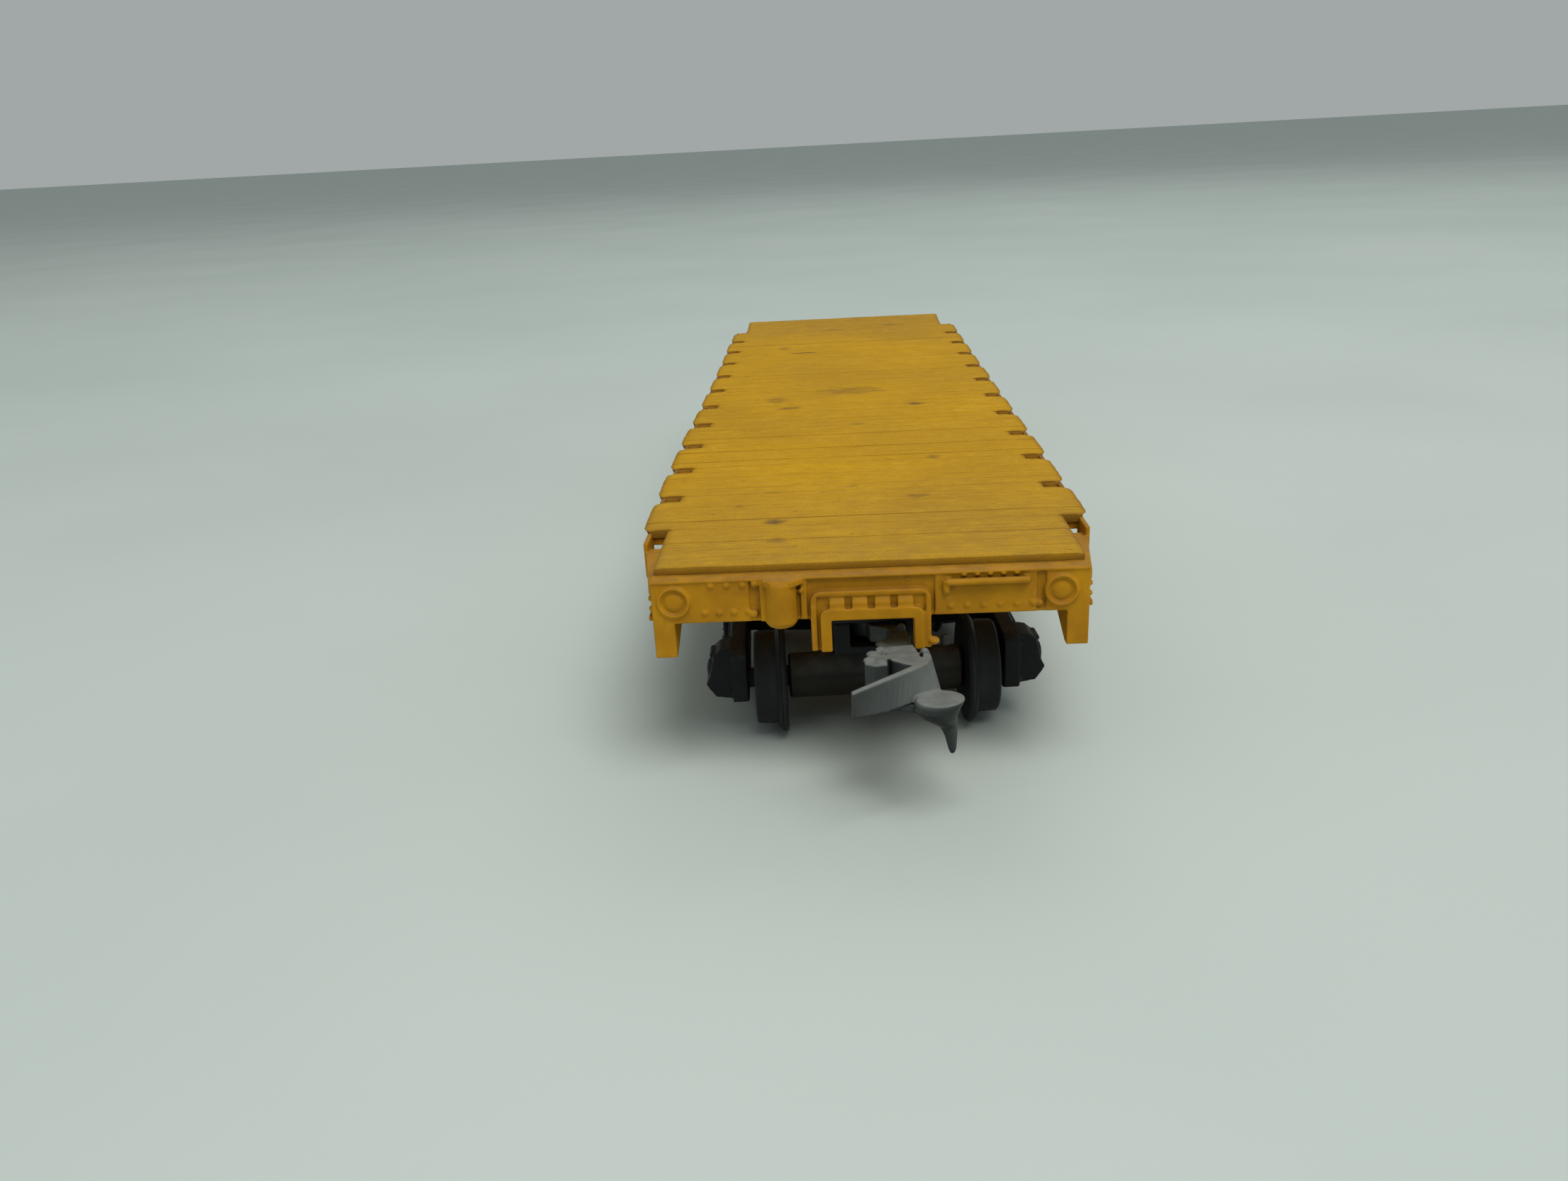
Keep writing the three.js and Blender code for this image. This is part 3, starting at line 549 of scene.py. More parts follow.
MARKS = [  # dirt marks on the deck: x, y, half length across, half length along, strength
    (-7.3, -51.6, 1.0, 0.75, 1.0),
    (-6.9, -56.5, 0.95, 0.7, 0.5),
    (-10.5, -46.9, 0.5, 0.4, 0.6),
    (-7.7, -43.0, 0.7, 0.5, 0.5),
    (7.3, -7.9, 1.0, 0.9, 0.8),
    (0.1, 1.2, 4.5, 2.4, 0.45),
    (0.5, -17.2, 0.8, 0.9, 0.4),
    (7.3, -32.6, 0.7, 0.7, 0.8),
    (-0.8, -41.9, 0.6, 0.5, 0.6),
    (4.7, -45.7, 1.1, 0.6, 0.7),
    (-9.1, 35.2, 1.0, 1.0, 0.7),
    (-6.0, 30.6, 2.3, 0.5, 1.0),
    (2.3, 62.0, 1.2, 0.9, 0.8),
    (7.9, 54.6, 2.4, 0.7, 0.6),
    (-2.0, 51.5, 2.2, 0.6, 0.5),
    (-8.8, -2.8, 1.3, 1.8, 0.45),
    (-7.1, -7.6, 1.5, 0.8, 0.7),
]


def boards():
    """(start, end, reaches the tab edge) of each deck board along the car."""
    made = []

    def row(start, end, count, full):
        width = (end - start) / count
        made.extend((start + i * width, start + (i + 1) * width, full) for i in range(count))

    row(DECK_END, TAB_START, 5, False)
    for tab in range(TABS):
        start = TAB_START + tab * PITCH
        row(start, start + PITCH - NOTCH, 4, True)
        if tab < TABS - 1:
            row(start + PITCH - NOTCH, start + PITCH, 1, False)
    row(-TAB_START, -DECK_END, 5, False)
    return made


def wave(a, b, per_a, per_b, layer):
    """Smooth noise from -1 to 1 over two measures, with so many waves in a unit of each."""
    return noise.noise(Vector((a * per_a, b * per_b, layer)))


def bell(distance, reach):
    return math.exp(-((distance / reach) ** 2))


def tab_edge(side, y):
    """Half width of the deck at a place on a tab: uneven, and rounded at the tab's two corners."""
    tab = math.floor((y - TAB_START) / PITCH)
    within = (y - TAB_START) - tab * PITCH
    from_corner = max(min(within, PITCH - NOTCH - within), 0.0)
    rounding = TAB_CORNER * math.exp(-from_corner / TAB_CORNER_REACH)
    bulge, bulge_y, bulge_reach = TAB_BULGES[side]
    swollen = bulge * bell(y - bulge_y, bulge_reach)
    per_tab = 0.16 * wave(side, tab, 3.1, 1.7, 0.4)
    ragged = 0.07 * wave(side, y, 5.0, 1.3, 2.0)
    return TAB_EDGE - 0.1 + swollen + per_tab + ragged - rounding


def soil_at(x, y):
    """How dirty the deck is at a place, from 0 to 1, from the ragged soil marks on it."""
    total = 0.0
    for mark_x, mark_y, half_x, half_y, strength in MARKS:
        ragged = 0.35 * wave(x, y, 1.1, 1.6, mark_x)
        distance = ((x - mark_x) / half_x) ** 2 + ((y - mark_y) / half_y) ** 2 + ragged
        total += strength * max(0.0, 1.0 - max(distance, 0.0)) ** 0.5
    return min(total, 1.0)


def deck_edge_distance(x, y, left, right, full):
    """How far a place on the deck is from the nearest edge."""
    nearest = min(x - left, right - x)
    if full and abs(x) > DECK_EDGE - 0.1:
        within = (y - TAB_START) % PITCH
        nearest = min(nearest, within, max(PITCH - NOTCH - within, 0.0))
    return max(nearest, 0.0)


def board_section(start, end, groove):
    """Section of a board along the car: flat foot, bevelled long edges and a slightly crowned top."""
    return [
        (start + HALF_GAP, FLOOR),
        (start + HALF_GAP, TOP - groove),
        (start + groove, TOP),
        *[(start + (end - start) * share, TOP + CROWN) for share in (0.2, 0.4, 0.6, 0.8)],
        (end - groove, TOP),
        (end - HALF_GAP, TOP - groove),
        (end - HALF_GAP, FLOOR),
    ]


def top_height(share, x, y, z):
    """Height of a place on top of the deck: uneven, worn at its edges, and curled up at the far end."""
    lifted = z + UNEVEN * wave(x, y, 0.2, 1.4, 5.0)
    side_droop = EDGE_DROOP * max(0.0, 1 - min(share, 1 - share) * DECK_SPANS / EDGE_DROOP_SPANS)
    end_droop = END_DROOP * bell(y - DECK_END, END_DROOP_REACH)
    curl = FAR_CURL * max(0.0, (y + DECK_END + FAR_CURL_REACH) / FAR_CURL_REACH) ** 2
    return lifted - side_droop - end_droop + curl


def deck_mesh():
    """Every board as its own closed strip, slightly uneven in height, with worn edges."""
    rng = random.Random(11)
    bm = bmesh.new()
    tone, soil, rim = (bm.verts.layers.float.new(name) for name in ("tone", "soil", "rim"))
    for start, end, full in boards():
        rise = rng.uniform(*RISES)
        shade = rng.random()
        section = board_section(start, end, rng.uniform(*GROOVES))
        columns = []
        for step in range(DECK_SPANS + 1):
            even = step / DECK_SPANS
            share = (1 - CROWDING) * even + CROWDING * (0.5 - 0.5 * math.cos(math.pi * even))
            column = []
            for y, z in section:
                left = -tab_edge(-1, y) if full else -DECK_EDGE
                right = tab_edge(1, y) if full else DECK_EDGE
                x = left + (right - left) * share
                height = top_height(share, x, y, z + rise) if z > FLOOR else z
                vert = bm.verts.new((x, y + WANDER * wave(x, y, 0.25, 2.0, 1.0), height))
                vert[tone] = shade
                vert[soil] = soil_at(x, y)
                vert[rim] = math.exp(-deck_edge_distance(x, y, left, right, full) / RIM_REACH)
                column.append(vert)
            columns.append(column)
        join_rings(bm, columns)
    return mesh_of(bm, "deck")


def build_deck():
    deck = place("deck_boards", deck_mesh(), Matrix(), deck_material, "car", ["car_body"])
    sharpen(deck.data, 50)


# ---------- end castings
# Seen from the end, x runs across the car from its middle.
WEB = behind_face(0.2)  # face of the sill between its plates
SILL_PLATES = ((-SILL_HALF, -8.75), (-5.0, -4.5), (4.8, 12.15), (12.85, SILL_HALF))
HOUSING_X = -6.45
POLING_POCKETS = ((-14.34, TOP - 2.37), (13.95, TOP - 2.45))
GRAB_ENDS = (5.75, 11.4)
GRAB_RADIUS = 0.26
ARCH = (-4.3, 4.5, TOP - 1.9, 0.8)  # left, right, top, corner radius
INNER_ARCH = (-3.6, 3.95, TOP - 3.22, 0.55)
ARCH_OPENING = (-2.8, 3.25, TOP - 4.08)  # left, right, top
ARCH_CHANNEL = (-3.85, 4.1, TOP - 2.3)
RIVET_ROWS = [  # first x, pitch, count, height, radius, how far it stands out
    (-11.55, 1.17, 3, TOP - 1.22, 0.26, 0.15),
    (-12.1, 1.08, 4, TOP - 3.3, 0.26, 0.15),
    (5.93, 1.2, 6, TOP - 3.38, 0.26, 0.15),
    (6.9, 0.95, 5, TOP - 1.02, 0.2, 0.16),
]
BOLTS = [  # x, how far behind the face, height, size
    (-8.3, 0.1, TOP - 1.15, (0.34, 0.3, 0.3)),
    (-8.5, 0.1, TOP - 3.45, (0.4, 0.28, 0.34)),
    (-4.98, -0.02, TOP - 1.79, (0.2, 0.16, 0.2)),
    (12.4, 0.14, TOP - 3.4, (0.3, 0.28, 0.3)),
    (2.8, 0.26, TOP - 1.25, (0.22, 0.16, 0.22)),
]


def rounded_arch(left, right, top, corner, foot, opening):
    """End view outline of an arch with rounded shoulders, standing on two legs."""
    open_left, open_right, open_top = opening
    return [
        (left, foot),
        *arc((left + corner, top - corner), corner, 180, 90),
        *arc((right - corner, top - corner), corner, 90, 0),
        (right, foot),
        (open_right, foot),
        (open_right, open_top),
        (open_left, open_top),
        (open_left, foot),
    ]


def poling_pocket(bm, x, z):
    """A raised ring round a domed disc."""
    ring = [
        (0.90, -0.1), (1.30, -0.1), (1.27, 0.10), (1.16, 0.22), (1.04, 0.22), (0.92, 0.06),
        (0.90, -0.1),
    ]
    outwards = Matrix.Translation((x, behind_face(0), z)) @ Matrix.Rotation(math.radians(90), 4, "X")
    lathe(bm, ring, 48, outwards)
    lump(bm, (x, behind_face(0.05), z), (0.8, 0.22, 0.8))


def end_sill(bm):
    """Sill with its lip, and plates that stand proud and leave dark channels between them."""
    across = (-SILL_HALF, SILL_HALF)
    box(bm, across, (WEB, DECK_END), (SILL_FOOT + 0.05, FLOOR))
    box(bm, across, (behind_face(-0.08), DECK_END + 0.4), (TOP - 0.92, FLOOR - 0.04))
    for plate in SILL_PLATES:
        box(bm, plate, (behind_face(0), WEB + 0.2), (SILL_FOOT, FLOOR - 0.1))
    box(bm, across, (behind_face(0.1), WEB + 0.2), (SILL_FOOT, SILL_FOOT + 0.22))
    for first, pitch, count, z, radius, height in RIVET_ROWS:
        for i in range(count):
            lump(bm, (first + i * pitch, behind_face(0), z), (radius, height, radius))
    for x, back, z, size in BOLTS:
        lump(bm, (x, behind_face(back), z), size)


def staff_housing(bm):
    """Brake staff housing: a column with a rounded foot, joined to the ledge above it."""
    x, y = HOUSING_X, behind_face(HOUSING_PROUD)
    rod(bm, (x, y, SILL_FOOT), (x, y, TOP - 1.0), HOUSING_RADIUS, segments=48)
    lump(bm, (x, y, SILL_FOOT), (HOUSING_RADIUS, HOUSING_RADIUS, 0.55))
    cap = [(-1.3, 0.4), (-1.25, -0.6), (-0.7, -1.0), (0.9, -1.0), (1.6, -0.3), (2.1, 0.4)]
    prism(bm, [(x + across, y + back) for across, back in cap], "z", (TOP - 1.25, FLOOR - 0.06))
    box(bm, (x - 1.5, x - 1.0), (y - 0.4, y + 0.6), (SILL_FOOT + 0.1, TOP - 1.0))


def grab_iron(bm):
    """A handrail on two stubs, with a short upright at its left end."""
    y, z = behind_face(-0.36), TOP - 1.45
    left, right = GRAB_ENDS
    rod(bm, (left, y, z), (right, y, z), GRAB_RADIUS, segments=16)
    for x in GRAB_ENDS:
        lump(bm, (x, y, z), (GRAB_RADIUS, GRAB_RADIUS, GRAB_RADIUS))
        rod(bm, (x, y, z), (x, behind_face(0.1), z), GRAB_RADIUS, segments=16)
    x, y, foot = left - 0.15, behind_face(-0.2), TOP - 2.2
    rod(bm, (x, y, foot), (x, y, TOP - 1.35), GRAB_RADIUS, segments=16)
    lump(bm, (x, y + 0.05, foot), (0.3, 0.24, 0.26))


def coupler_arch(bm):
    """Two nested arches with a row of lumps between them, over the coupler's opening."""
    layers = [  # arch, what is open in it, front and back behind the sill face
        (ARCH, ARCH_OPENING, -0.05, 1.2),
        (ARCH, ARCH_CHANNEL, -0.26, 0.2),
        (INNER_ARCH, ARCH_OPENING, -0.52, 0.4),
    ]
    for arch, opening, front, back in layers:
        prism(bm, rounded_arch(*arch, LEG_FOOT, opening), "y", (behind_face(front), behind_face(back)))
    slope = [
        (behind_face(0.2), TOP - 3.3), (behind_face(-0.44), TOP - 3.3),
        (behind_face(-0.42), TOP - 2.75), (behind_face(-0.2), TOP - 2.42),
        (behind_face(0.2), TOP - 2.3),
    ]
    for i in range(4):
        x = -2.35 + i * 1.66
        prism(bm, slope, "x", (x - 0.56, x + 0.56))
    lump(bm, (4.68, behind_face(-0.1), LEG_FOOT + 0.5), (0.45, 0.42, 0.32))


def corner_gusset(bm, side):
    """Corner step: a gusset whose lower edge rises towards the middle of the car."""
    outline = [
        (behind_face(0), SILL_FOOT + 0.3), (behind_face(0), STEP_FOOT),
        (behind_face(0.9), STEP_FOOT), (behind_face(5.5), SILL_FOOT - 1.0),
        (behind_face(5.5), SILL_FOOT + 0.3),
    ]
    prism(bm, outline, "x", sorted((side * 14.4, side * SILL_HALF)))


def corner_ledge(bm, side):
    """Ledge beside the narrow end of the deck, and the thin wall of the open pocket behind it."""
    gap = TAB_START - 1.6
    ledge_top, ledge_depth, wall = TOP - 1.05, 0.8, 0.35
    casting_back = behind_face(CASTING_LENGTH)
    under_tab = TAB_START + 0.6
    ledge = [
        (SILL_INNER, behind_face(0.3)), (SILL_HALF + 0.15, behind_face(0.3)),
        (POCKET_OUTER, gap), (SILL_INNER, gap),
    ]
    prism(bm, [(side * x, y) for x, y in ledge], "z", (ledge_top - ledge_depth, ledge_top))
    outer_wall = (POCKET_OUTER - wall, POCKET_OUTER)
    side_box(bm, side, outer_wall, (gap - 1.0, under_tab), (TOP - 3.2, TOP - 0.3))
    side_box(bm, side, (15.0, POCKET_OUTER - 0.05), (TAB_START + 0.15, under_tab), (TOP - 1.35, FLOOR))
    side_box(bm, side, (SILL_INNER, SILL_WEB), (behind_face(0.5), casting_back), (SILL_FOOT, FLOOR))
    flange = (SILL_FOOT, SILL_FOOT + SILL_THICKNESS)
    side_box(bm, side, (SILL_INNER, SILL_FLANGE), (behind_face(0.8), casting_back), flange)
    for z in (TOP - 2.2, TOP - 3.0):
        lump(bm, (side * SILL_HALF, behind_face(0.6), z), (0.32, 0.26, 0.26))
    for step in range(4):
        lump(bm, (side * SILL_WEB, behind_face(2.2 + step * 1.4), SILL_FOOT + 0.9), (0.16, 0.24, 0.24))


def build_end_castings():
    bm = bmesh.new()
    end_sill(bm)
    staff_housing(bm)
    grab_iron(bm)
    coupler_arch(bm)
    for x, z in POLING_POCKETS:
        poling_pocket(bm, x, z)
    for side in (-1, 1):
        corner_gusset(bm, side)
        corner_ledge(bm, side)
    mesh = moulded(bm, 0.07, softening=4, keep=0.5)
    for end in "ab":
        place(f"end_casting_{end}", mesh, end_turn(end), body_material, "car")


# ---------- side sills, pockets and floor
def stake_pocket(bm, side, y):
    """A stake pocket with a blind hole, and riveted ears on the sill."""
    half, wall, ear = 1.02, 0.34, 1.9
    low, high = TOP - 3.2, TOP - 0.14
    inner, outer = SILL_WEB - 0.2, POCKET_OUTER + 0.05
    bend = [
        (inner, y - half), (outer, y - half), (outer, y + half), (inner, y + half),
        (inner, y + half - wall), (outer - wall, y + half - wall),
        (outer - wall, y - half + wall), (inner, y - half + wall),
    ]
    prism(bm, [(side * x, along) for x, along in bend], "z", (low, high))
    fill = (y - half + wall / 2, y + half - wall / 2)
    side_box(bm, side, (inner + 0.02, outer - wall / 2), fill, (low + 0.02, TOP - 1.3))
    for span in ((y - ear, y - half + 0.1), (y + half - 0.1, y + ear)):
        side_box(bm, side, (inner + 0.01, SILL_WEB + 0.14), span, (low + 0.1, high - 0.8))
    for along in (-1.5, 1.5):
        for z in (low + 0.6, high - 1.3):
            lump(bm, (side * (SILL_WEB + 0.12), y + along, z), (0.15, 0.22, 0.22))


def side_sill(bm, side):
    """The side wall between the two end castings, with a flange and a row of rivets along its foot."""
    reach = -behind_face(CASTING_LENGTH - 0.1)
    angle = [
        (SILL_INNER, SILL_FOOT), (SILL_FLANGE, SILL_FOOT),
        (SILL_FLANGE, SILL_FOOT + SILL_THICKNESS), (SILL_WEB, SILL_FOOT + SILL_THICKNESS),
        (SILL_WEB, FLOOR), (SILL_INNER, FLOOR),
    ]
    prism(bm, [(side * x, z) for x, z in angle], "y", (-reach, reach))
    for tab in range(TABS):
        middle = TAB_START + tab * PITCH + (PITCH - NOTCH) / 2
        for along in (-1.5, -0.5, 0.5, 1.5):
            lump(bm, (side * SILL_WEB, middle + along, SILL_FOOT + 0.8), (0.14, 0.2, 0.2))


def floor_slab(bm):
    """The body's floor with its ribs and the two kingpin bosses."""
    reach = -behind_face(1.5)
    box(bm, (-15.0, 15.0), (-reach, reach), (TOP - 1.7, FLOOR - 0.02))
    boss_foot = node_box("weight_plate")[0].z
    for end in "ab":
        pin = joint_place(f"truck_{end}_swivel")
        rod(bm, (pin.x, pin.y, boss_foot), (pin.x, pin.y, TOP - 1.6), 2.6, segments=48)
    for side in (-1, 1):
        for y in (-50.0, 50.0):
            side_box(bm, side, (6.0, SILL_INNER + 0.05), (y - 0.3, y + 0.3), (TOP - 2.6, TOP - 1.6))


def place_on_car(name, bm, bevel, material):
    """A crisp piece of the car's body, drawn where it stands."""
    made = place(name, bevelled(bm, bevel), Matrix(), material, "car")
    sharpen(made.data)


def build_sides():
    for side, label in ((-1, "left"), (1, "right")):
        bm = bmesh.new()
        side_sill(bm, side)
        place_on_car(f"side_sill_{label}", bm, 0.08, body_material)
        bm = bmesh.new()
        for notch in range(1, TABS):
            stake_pocket(bm, side, TAB_START - NOTCH / 2 + notch * PITCH)
        place_on_car(f"stake_pockets_{label}", bm, 0.06, pocket_material)
    bm = bmesh.new()
    floor_slab(bm)
    place_on_car("floor_slab", bm, 0.1, body_material)


# ---------- trucks
AXLE_HEIGHT = JOINTS["wheelset_a1_spin"]["pos_m"][2] / MM
SIDE_FACE = 11.7  # outer face of a sideframe's web
JOURNAL_FACE = 13.45
SPRING_HEIGHTS = (2.7, 5.4)
SPRING_RADIUS = 0.82
BOX_HALF = 3.4  # coupler box, across
BOX_SLOT = 2.15  # half the slot that the coupler swings in
BOX_FRONT = -13.85
BOX_HEIGHTS = (8.0, 10.6)


def coil_spring(bm, x, y):
    """A spring as a stack of rounded turns round a core."""
    turns = 5
    low, high = SPRING_HEIGHTS
    rod(bm, (x, y, low), (x, y, high), SPRING_RADIUS * 0.6, segments=16)
    for turn in range(turns):
        z = low + (high - low) * (turn + 0.5) / turns
        lump(bm, (x, y, z), (SPRING_RADIUS, SPRING_RADIUS, (high - low) / turns * 0.42))


def truck_details(bm):
    """What the truck's CAD shape leaves plain: springs, journal lids, bolts, ribs and the box's front."""
    wheelbase_half = (joint_place("wheelset_a2_spin") - joint_place("wheelset_a1_spin")).length / 2
    for side in (-1, 1):
        for y in (-1.9, 0.0, 1.9):
            coil_spring(bm, side * (SIDE_FACE + 0.35), side * y)
        for end in (-1, 1):
            y = end * wheelbase_half
            lump(bm, (side * JOURNAL_FACE, y, 5.5), (0.35, 0.8, 1.1))
            hinge = side * (JOURNAL_FACE - 0.25)
            rod(bm, (hinge, y - 0.9, 7.1), (hinge, y + 0.9, 7.1), 0.25, segments=12)
            for along in (-1.55, 1.55):
                for z in (7.0, 3.9):
                    lump(bm, (side * SIDE_FACE, y + along, z), (0.25, 0.25, 0.25))
        for y in (-2.9, 2.9):
            lump(bm, (side * (SIDE_FACE + 0.1), y, 6.4), (0.3, 0.3, 0.3))
            lump(bm, (side * (SIDE_FACE + 0.9), y, 2.3), (0.3, 0.3, 0.3))
        side_box(bm, side, (SIDE_FACE, SIDE_FACE + 0.3), (-7.8, 7.8), (7.2, 7.6))
        side_box(bm, side, (BOX_SLOT, BOX_HALF), (BOX_FRONT, BOX_FRONT + 0.5), BOX_HEIGHTS)


def build_trucks():
    bm = copy_of_node("truck_frame_a", truck_frame_of("a").inverted())
    truck_details(bm)
    mesh = moulded(bm, 0.1, softening=2, keep=0.45)
    for end in "ab":
        body, node = f"truck_{end}", f"truck_frame_{end}"
        place(f"truck_{end}", mesh, truck_frame_of(end), truck_material, body, [node])


# ---------- wheelsets
WHEEL_BACK = 7.25  # half the distance between a wheelset's two wheels
WHEEL_WIDTH = 2.6
FLANGE_RADIUS = AXLE_HEIGHT
TREAD_RADIUS = 3.85
BORE_RADIUS = 0.95


def turned(name, profile, segments):
    """A mesh turned about X, its profile as (radius, along) points."""
    bm = bmesh.new()
    lathe(bm, profile, segments, Matrix.Rotation(math.radians(90), 4, "Y"))
    return mesh_of(bm, name)


def wheel_mesh():
    """A disc wheel from its back face out: rounded flange, coned tread, dished web and hub."""
    profile = [
        (BORE_RADIUS, 0.0),
        (FLANGE_RADIUS - 0.35, 0.0),
        *[(FLANGE_RADIUS - 0.25 + a, 0.3 - b) for b, a in arc((0, 0), 0.25, 120, 0, 5)],
        (FLANGE_RADIUS - 0.12, 0.5),
        *[(TREAD_RADIUS + 0.2 - b, 0.82 + a - 0.2) for a, b in arc((0, 0), 0.2, 0, 90, 4)],
        (TREAD_RADIUS - 0.06, WHEEL_WIDTH - 0.15),
        (TREAD_RADIUS - 0.2, WHEEL_WIDTH),
        (3.15, WHEEL_WIDTH), (3.05, WHEEL_WIDTH - 0.1), (2.9, WHEEL_WIDTH - 0.45),
        (2.6, WHEEL_WIDTH - 0.55), (1.9, WHEEL_WIDTH - 0.5), (1.65, WHEEL_WIDTH - 0.1),
        (1.55, WHEEL_WIDTH),
        (BORE_RADIUS, WHEEL_WIDTH),
        (BORE_RADIUS, 0.0),
    ]
    return turned("wheel", profile, 96)


def axle_mesh():
    """The thick middle with a mould line round it, stepped down to the journals."""
    core, seat, journal = 1.85, BORE_RADIUS - 0.1, 0.8  # radii
    half = [
        (core, 0.12), (core, WHEEL_BACK - 0.35), (core - 0.15, WHEEL_BACK - 0.18),
        (seat, WHEEL_BACK - 0.15), (journal, 10.4), (journal, 11.6), (0.15, 12.38),
    ]
    middle = [(core + 0.03, -0.05), (core + 0.03, 0.05)]
    profile = [(r, -along) for r, along in reversed(half)] + middle + half
    return turned("axle", profile, 64)


def build_wheelsets():
    wheel, axle = wheel_mesh(), axle_mesh()
    for end in "ab":
        for number in (1, 2):
            label = f"{end}{number}"
            body = f"wheelset_{label}"
            joint = f"{body}_spin"
            axis = Vector(JOINTS[joint]["axis"])
            turn = Matrix.Rotation(math.atan2(axis.y, axis.x), 4, "Z")
            home = Matrix.Translation(joint_place(joint)) @ turn
            name, node = f"thick_axle_{label}", f"axle_{label}"
            made = place(name, axle, home, axle_material, body, [node])
            sharpen(made.data, 30)
            for side, half_turn in (("right", 0.0), ("left", math.pi)):
                seat = home @ Matrix.Rotation(half_turn, 4, "Z") @ Matrix.Translation((WHEEL_BACK, 0, 0))
                name, node = f"disc_{label}_{side}", nearest_wheel(label, seat.translation)
                made = place(name, wheel, seat, wheel_material, body, [node])
                sharpen(made.data, 30)


def nearest_wheel(label, point):
    """The CAD wheel of a wheelset that stands nearest to a point."""
    def distance(node):
        low, high = node_box(node)
        return ((low + high) / 2 - point).length
    return min((f"wheel_{label}_{side}" for side in ("left", "right")), key=distance)


# ---------- couplers
# Drawn straight ahead: pivot at the origin, -Y forwards. Heights are above the wheel bottoms.
SHANK_FOOT, SHANK_TOP, NECK_TOP, HEAD_TOP = 8.9, 10.1, 10.3, 11.0
KNOB_TOP = 9.4
PIVOT_HOLE = 0.85
EYE_RADIUS = 2.0
HEAD_BACK = -8.6  # the head is higher than the neck from here forwards


def coupler_shank(bm):
    """The eye round the rivet and the neck, low enough to swing under the feet of the arch's legs."""
    eye = [
        (PIVOT_HOLE, SHANK_FOOT), (EYE_RADIUS, SHANK_FOOT), (EYE_RADIUS, SHANK_TOP),
        (PIVOT_HOLE, SHANK_TOP), (PIVOT_HOLE, SHANK_FOOT),
    ]
    lathe(bm, eye, 48)
    neck = [
        (-1.0, -1.3), (1.0, -1.3), (0.95, -2.6), (1.65, -4.0), (1.7, -5.5), (1.3, -7.5),
        (1.2, -9.2), (-1.2, -9.2), (-1.15, -7.4), (-0.55, -5.8), (0.3, -4.7), (0.3, -3.6),
        (-0.9, -2.6),
    ]
    prism(bm, neck, "z", (SHANK_FOOT, NECK_TOP))
    lump(bm, (1.33, -3.95, NECK_TOP + 0.12), (0.4, 0.4, 0.38))


def coupler_head(bm):
    """The hook's flat head, with a worn and lumpy ear on its left and a hollow in front of it."""
    head = [
        (1.2, HEAD_BACK), (1.25, -11.6), (0.45, -12.3), (-0.1, -11.95), (-0.9, -11.05),
        (-1.1, -10.4), (-1.35, -11.8), (-2.3, -11.75), (-2.9, -11.3), (-2.8, -10.5),
        (-1.5, -8.9), (-1.2, HEAD_BACK),
    ]
    prism(bm, head, "z", (SHANK_FOOT, HEAD_TOP))
    ear_lumps = [  # x, y, size
        (-1.3, -9.0, 0.42),
        (-2.05, -9.7, 0.5),
        (-2.4, -10.7, 0.55),
        (-1.75, -11.2, 0.45),
    ]
    for x, y, size in ear_lumps:
        lump(bm, (x, y, HEAD_TOP - 0.04), (size, size, 0.24))
    lump(bm, (-0.75, -6.4, NECK_TOP - 0.04), (0.48, 0.48, 0.2))


def coupler_horn(bm):
    """A plate slanting forward and left. Its right half leans forward and runs down into the knob."""
    def section(front, back, foot, top, back_foot_z, foot_z, tuck=0.0):
        """Front and back of the top edge, then back and front of the foot. The back is tucked in below."""
        return [(*front, top), (*back, top), (back[0] - tuck, back[1], back_foot_z), (*foot, foot_z)]

    top = HEAD_TOP
    sections = smooth_between(
        section((-4.65, -16.05), (-4.68, -15.5), (-4.6, -15.9), top + 0.05, 9.05, 9.05),
        section((-2.1, -14.45), (-2.25, -13.95), (-2.2, -14.95), top + 0.05, 8.85, 8.85),
        section((0.4, -12.9), (0.25, -12.3), (0.1, -14.1), top + 0.02, 8.7, 9.0),
        section((1.25, -12.25), (1.0, -11.6), (1.35, -13.7), top, 8.7, 9.1),
        section((1.9, -11.3), (1.4, -10.8), (2.15, -13.1), top, 8.7, 9.2, tuck=0.1),
        section((2.05, -10.3), (1.5, -10.0), (2.3, -11.0), top - 0.05, 8.8, 9.2, tuck=0.1),
    )
    loft(bm, sections)
    lump(bm, (1.68, -10.25, HEAD_TOP), (0.36, 0.4, 0.34))


def coupler_knob(bm):
    """The round knob: its side sweeps in from the left to a pin that hangs off centre."""
    rings = [  # height, x, y, half width, half length
        (KNOB_TOP, 1.75, -14.65, 1.72, 1.36),
        (9.1, 1.62, -14.65, 1.74, 1.36),
        (8.6, 1.48, -14.65, 1.60, 1.25),
        (8.1, 1.62, -14.70, 1.28, 1.05),
        (7.7, 1.95, -14.80, 0.93, 0.82),
        (7.4, 2.22, -14.85, 0.64, 0.62),
        (6.7, 2.37, -14.95, 0.46, 0.46),
        (5.6, 2.46, -15.00, 0.29, 0.29),
        (5.25, 2.46, -15.00, 0.16, 0.16),
    ]
    angles = [2 * math.pi * i / 32 for i in range(32)]
    loft(bm, [[(x + a * math.cos(t), y + b * math.sin(t), z) for t in angles] for z, x, y, a, b in rings])
    sweep = [(-1.3, 8.8), (1.5, 8.9), (1.5, 8.0), (0.2, 8.1), (-1.2, 8.5)]
    prism(bm, sweep, "y", (-14.15, -13.5))
    root = [(0.3, -12.6), (1.7, -12.2), (2.4, -13.6), (1.7, -14.2), (0.2, -14.0)]
    prism(bm, root, "z", (8.5, KNOB_TOP - 0.04))


